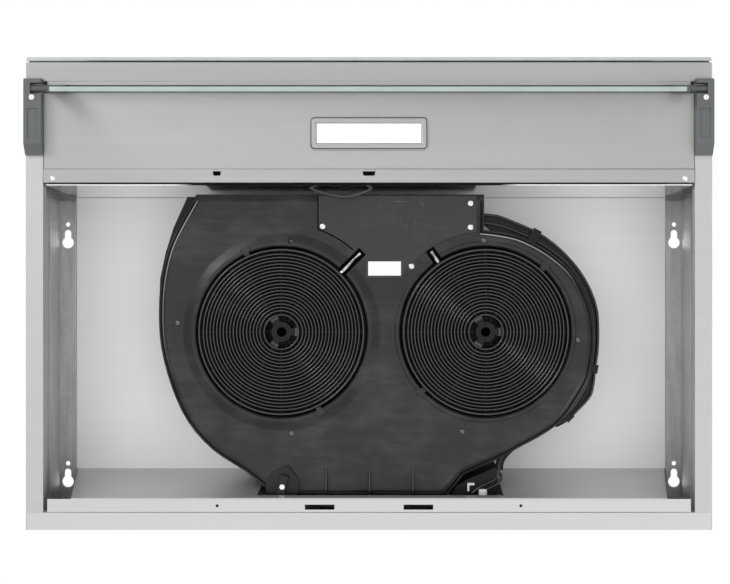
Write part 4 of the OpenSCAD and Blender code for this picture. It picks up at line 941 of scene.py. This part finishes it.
# %% Bezel
CANOPY_FOOT = -130.0
BEZEL_CORNER = 6.0
LEAST_CORNER = 0.25
BEZEL_LINES = [(0.0, 0.0), (0.0, 0.4), (0.5, 0.9), (1.4, 0.9), (1.5, 0.0), (2.3, 0.0), (2.4, 0.9),
               (3.6, 1.2), (6.4, 1.2), (7.2, 1.0), (8.4, 0.1), (8.4, 0.0)]


def rounded_frame(low, high, corner, section):
    """A section of (inset, height) carried round a rectangle whose corners have the radius
    corner - inset, or the least radius."""
    half, middle = (high - low) / 2, (high + low) / 2
    inset, height = np.array(section).T[:, :, None]
    radius = np.maximum(corner - inset, LEAST_CORNER)[..., None]
    a = (np.arange(4)[:, None] + np.linspace(0, 1, 9)).ravel() * math.pi / 2
    signs = np.repeat([[1, 1], [-1, 1], [-1, -1], [1, -1]], 9, 0)
    way = np.stack([np.cos(a), np.sin(a)], -1)
    flat = signs * (half[:2] - inset[..., None] - radius) + radius * way
    z = np.broadcast_to(high[2] - height[..., None], (*flat.shape[:2], 1))
    return np.concatenate([flat + middle[:2], z], -1), True, True


bezel_low, bezel_high = node_box("lamp_bezel")
bezel_high[2] = CANOPY_FOOT
piece("bezel_frame", [rounded_frame(bezel_low, bezel_high, BEZEL_CORNER, BEZEL_LINES)], FRONT, "canopy",
      "lamp_bezel")

# %% [markdown]
# ## Screws
#
# Small dull screws hold the cover, and four bright round-headed ones hold the plate. A head is a
# profile turned about its own axis, with a dimple that darkens its middle. Together the two pieces
# take the place of one CAD node.

# %% Screw heads
COVER_SCREWS = [(-88.6, -120.5), (129.4, -121), (235.6, -9), (-88, 97), (-217, -28), (105, 95)]
PLATE_SCREWS = [(-53, -137), (114, -163), (114, -136), (47.5, -92)]
COVER_HEAD_R, COVER_HEAD_LOW, COVER_HEAD_HIGH = 2.8, -101.8, -100.4
PLATE_HEAD_R, PLATE_HEAD_LOW, PLATE_HEAD_HIGH = 3.4, -104.4, -102.2


def screw_heads(places, r, low, high):
    """Round heads with a sunk dimple, turned about each place: eased at the rim, and closed on the
    axis."""
    drop = high - low
    profile = np.array([(0, high), (r, high), (r, low + 0.5 * drop), (0.86 * r, low + 0.15 * drop),
                        (0.6 * r, low), (0.42 * r, low), (0.3 * r, low + 0.45 * drop),
                        (0, low + 0.5 * drop)])
    return [(turned(profile, place, 28), False, True) for place in places]


piece("cover_screw_heads", screw_heads(COVER_SCREWS, COVER_HEAD_R, COVER_HEAD_LOW, COVER_HEAD_HIGH), DULL,
      "canopy", "cover_screws")
piece("plate_screw_heads", screw_heads(PLATE_SCREWS, PLATE_HEAD_R, PLATE_HEAD_LOW, PLATE_HEAD_HIGH), SCREW,
      "canopy", "cover_screws")

# %% [markdown]
# ## Spring clips
#
# A strip of bright spring steel lies in a black slot at each dish and locks the filter. It is bent and
# twisted, and the twist is what makes one half flash white and the other go grey. So its section turns
# as it runs outward.

# %% Spring clips
# Each clip is the dish's centre, the heading, the length and the twist in radians.
CLIPS = [(FAN_LEFT, math.radians(-45), 31, -0.9), (FAN_RIGHT, math.radians(-124), 15, 0.7)]
CLIP_REACH = 96.5
CLIP_HALF, CLIP_T = 1.6, 0.6
CLIP_Z, CLIP_BEND = -101.1, 0.5


def clip(centre, angle, length, twist):
    """A thin strip from the rim of a dish outward, for t from 0 to 1. Its height follows cos(pi t), and
    its section turns by twist sin(pi (t - 0.2))."""
    t = np.linspace(0, 1, 20)[:, None]
    path = np.concatenate([centre + (CLIP_REACH - 2 + length * t) * heading(angle),
                           CLIP_Z + CLIP_BEND * np.cos(math.pi * t)], 1)
    x, y = bar(CLIP_HALF, -CLIP_T / 2, CLIP_T / 2, 0.2, 2).T
    a = twist * np.sin(math.pi * (t - 0.2))
    return swept(path, np.stack([x * np.cos(a) - y * np.sin(a), x * np.sin(a) + y * np.cos(a)], -1))


piece("clip_strips", [clip(*values) for values in CLIPS], SPRING, "canopy", "spring_clips")

# %% [markdown]
# ## Front return
#
# The canopy's front sheet is folded back under itself ahead of the visor's hinge, so a thin line of
# steel closes the gap there. It is a flat slab with eased edges.

# %% Front return
RETURN_LOW, RETURN_HIGH = (-356, -297, -129.8), (356, -291.8, -129.0)
RETURN_CORNER, RETURN_EDGE = 0.5, 0.2

strip = slab(RETURN_LOW, RETURN_HIGH, RETURN_CORNER, RETURN_EDGE)
piece("front_return", [(strip, True, False)], FRONT, "canopy")

# %% [markdown]
# ## Painted shade in the slots and the gap
#
# Under each spring clip lies a thin black sheet: painted shade for the depth of its slot. A thin black
# tube runs down the left side of the bridge plate and on round the left dish: painted shade in the gap
# there.

# %% Slot shades
SLOT_SHADE_Z, SLOT_SHADE_HALF, SLOT_SHADE_T = -100.2, 5.2, 0.6


def slot_shade(centre, angle, length):
    """Painted shade in a clip's slot: a flat black bar along centre + r (cos a, sin a)."""
    reach = np.linspace(CLIP_REACH - 1, CLIP_REACH + length + 1, 4)[:, None]
    section = bar(SLOT_SHADE_HALF, -SLOT_SHADE_T / 2, SLOT_SHADE_T / 2, 0.2, 2)
    return swept(level(centre + reach * heading(angle), SLOT_SHADE_Z), section)


# Painted shade: a black sheet under each clip.
piece("clip_slot_shades", [slot_shade(*values[:3]) for values in CLIPS], DEEP_SHADE, "canopy")

# %% Gap shade
GAP_SHADE_R, GAP_SHADE_Z = 0.65, -101.3
GAP_SHADE_X, GAP_SHADE_FRONT, GAP_SHADE_BACK = -58.2, -171.6, -136
GAP_SHADE_ARC = 122.8
GAP_SHADE_TURN = np.radians(np.linspace(-70.6, -49, 24))

# Painted shade: a black tube in the gap beside the plate and round the left dish.
straight = np.stack([np.full(8, GAP_SHADE_X), np.linspace(GAP_SHADE_FRONT, GAP_SHADE_BACK, 8)], -1)
bend = FAN_LEFT + GAP_SHADE_ARC * np.stack([np.cos(GAP_SHADE_TURN), np.sin(GAP_SHADE_TURN)], -1)
gap_shade_path = level(np.concatenate([straight, bend]), GAP_SHADE_Z)
piece("plate_gap_shade", [swept(gap_shade_path, circle(GAP_SHADE_R, 10))], DEEP_SHADE, "canopy")

# %% [markdown]
# ## Rib crowns and bores
#
# The ribs of the outlet have round crowns that catch the light. The posts in the middle of the filters
# are hollow, and a black disc deep inside is painted shade that makes the bore look deep.

# %% Crowns and bores
RIBS = (-49, 0, 49)
CROWN = [(136.5, -101.6), (148, -103.7), (154, -104.5), (164, -104.5), (167.5, -99.5)]
CROWN_R = 1.35
BORE_SHADE = np.array([(0, -96.5), (5.3, -96.5), (5.3, -95.5), (0, -95.5)])

crowns = [swept(curve([(x, y, z) for y, z in CROWN], 6), circle(CROWN_R, 14)) for x in RIBS]
piece("rib_crowns", crowns, GRILLE, "canopy")
# Painted shade: a black disc deep in each hollow post.
piece("post_bore_shades", [(turned(BORE_SHADE, place, 32), False, True) for place in (FAN_LEFT, FAN_RIGHT)], DEEP_SHADE,
      "canopy")

# %% [markdown]
# ## Rear panel
#
# The panel behind the blower leans back and narrows toward its foot, with a window for the outlet. It
# is three flat sheets: one at each side of the window and one below its sill. The ends of each sheet
# are given at every height, so a slanting end needs no cut.

# %% Rear panel
PANEL_TOP_Y, PANEL_FOOT_Y, PANEL_TOP_Z, PANEL_FOOT_Z = 152.0, 166.0, -1.0, -129.0
PANEL_TOP_HALF, PANEL_FOOT_HALF = 356.0, 330.0
WINDOW_LEFT, WINDOW_RIGHT, WINDOW_SILL = -125.0, 150.0, -118.0


def leaning(left, right, z_high):
    """One sheet of the panel, 1 mm thick, from its foot to a height. left and right give its ends at a
    share of the panel's height, and y is foot + (top - foot) share."""
    z = np.linspace(PANEL_FOOT_Z, z_high, 12)[:, None]
    share = (z - PANEL_FOOT_Z) / (PANEL_TOP_Z - PANEL_FOOT_Z)
    y = PANEL_FOOT_Y + (PANEL_TOP_Y - PANEL_FOOT_Y) * share
    u, v = np.array([(0, 0), (1, 0), (1, 1), (0, 1)]).T
    x = left(share) * (1 - u) + right(share) * u
    grid = np.stack([x, y - v, np.broadcast_to(z, x.shape)], -1)
    ends = np.repeat(grid[[0, -1]].mean(1, keepdims=True), 4, 1)
    return np.concatenate([ends[:1], grid, ends[1:]]), True, False


def slanting(side):
    """An end of the panel, on the side -1 or 1, that slants from foot to top."""
    return lambda share: side * (PANEL_FOOT_HALF + (PANEL_TOP_HALF - PANEL_FOOT_HALF) * share)


def upright_at(x):
    """An end that stands upright."""
    return lambda share: x + 0 * share


sheets = [leaning(slanting(-1), upright_at(WINDOW_LEFT), PANEL_TOP_Z),
          leaning(upright_at(WINDOW_RIGHT), slanting(1), PANEL_TOP_Z),
          leaning(upright_at(WINDOW_LEFT), upright_at(WINDOW_RIGHT), WINDOW_SILL)]
piece("rear_panel", sheets, REAR, "canopy", "rear_rail")

# %% [markdown]
# ## Floor
#
# A hood hangs, so the floor is only where its light and shadow would end. It lies below the lowest
# lamp, and the camera looks away from it.

# %% Floor
FLOOR_Z, FLOOR_HALF = -2.4, 60.0

corners = [(x * FLOOR_HALF, y * FLOOR_HALF, FLOOR_Z) for x, y in ((-1, -1), (1, -1), (1, 1), (-1, 1))]
floor_mesh = bpy.data.meshes.new("floor")
floor_mesh.from_pydata(corners, [], [(0, 1, 2, 3)])
floor = bpy.data.objects.new("floor", floor_mesh)
floor_mesh.materials.append(Finish("floor_paint", (0.86, 0.86, 0.85), 0.7).material)
bpy.context.scene.collection.objects.link(floor)
print("floor in m:", 2 * FLOOR_HALF)

# %% [markdown]
# ## Finish
#
# The colours are shown as they are, through the Standard view transform.

# %% The last line
bpy.context.scene.view_settings.view_transform = "Standard"
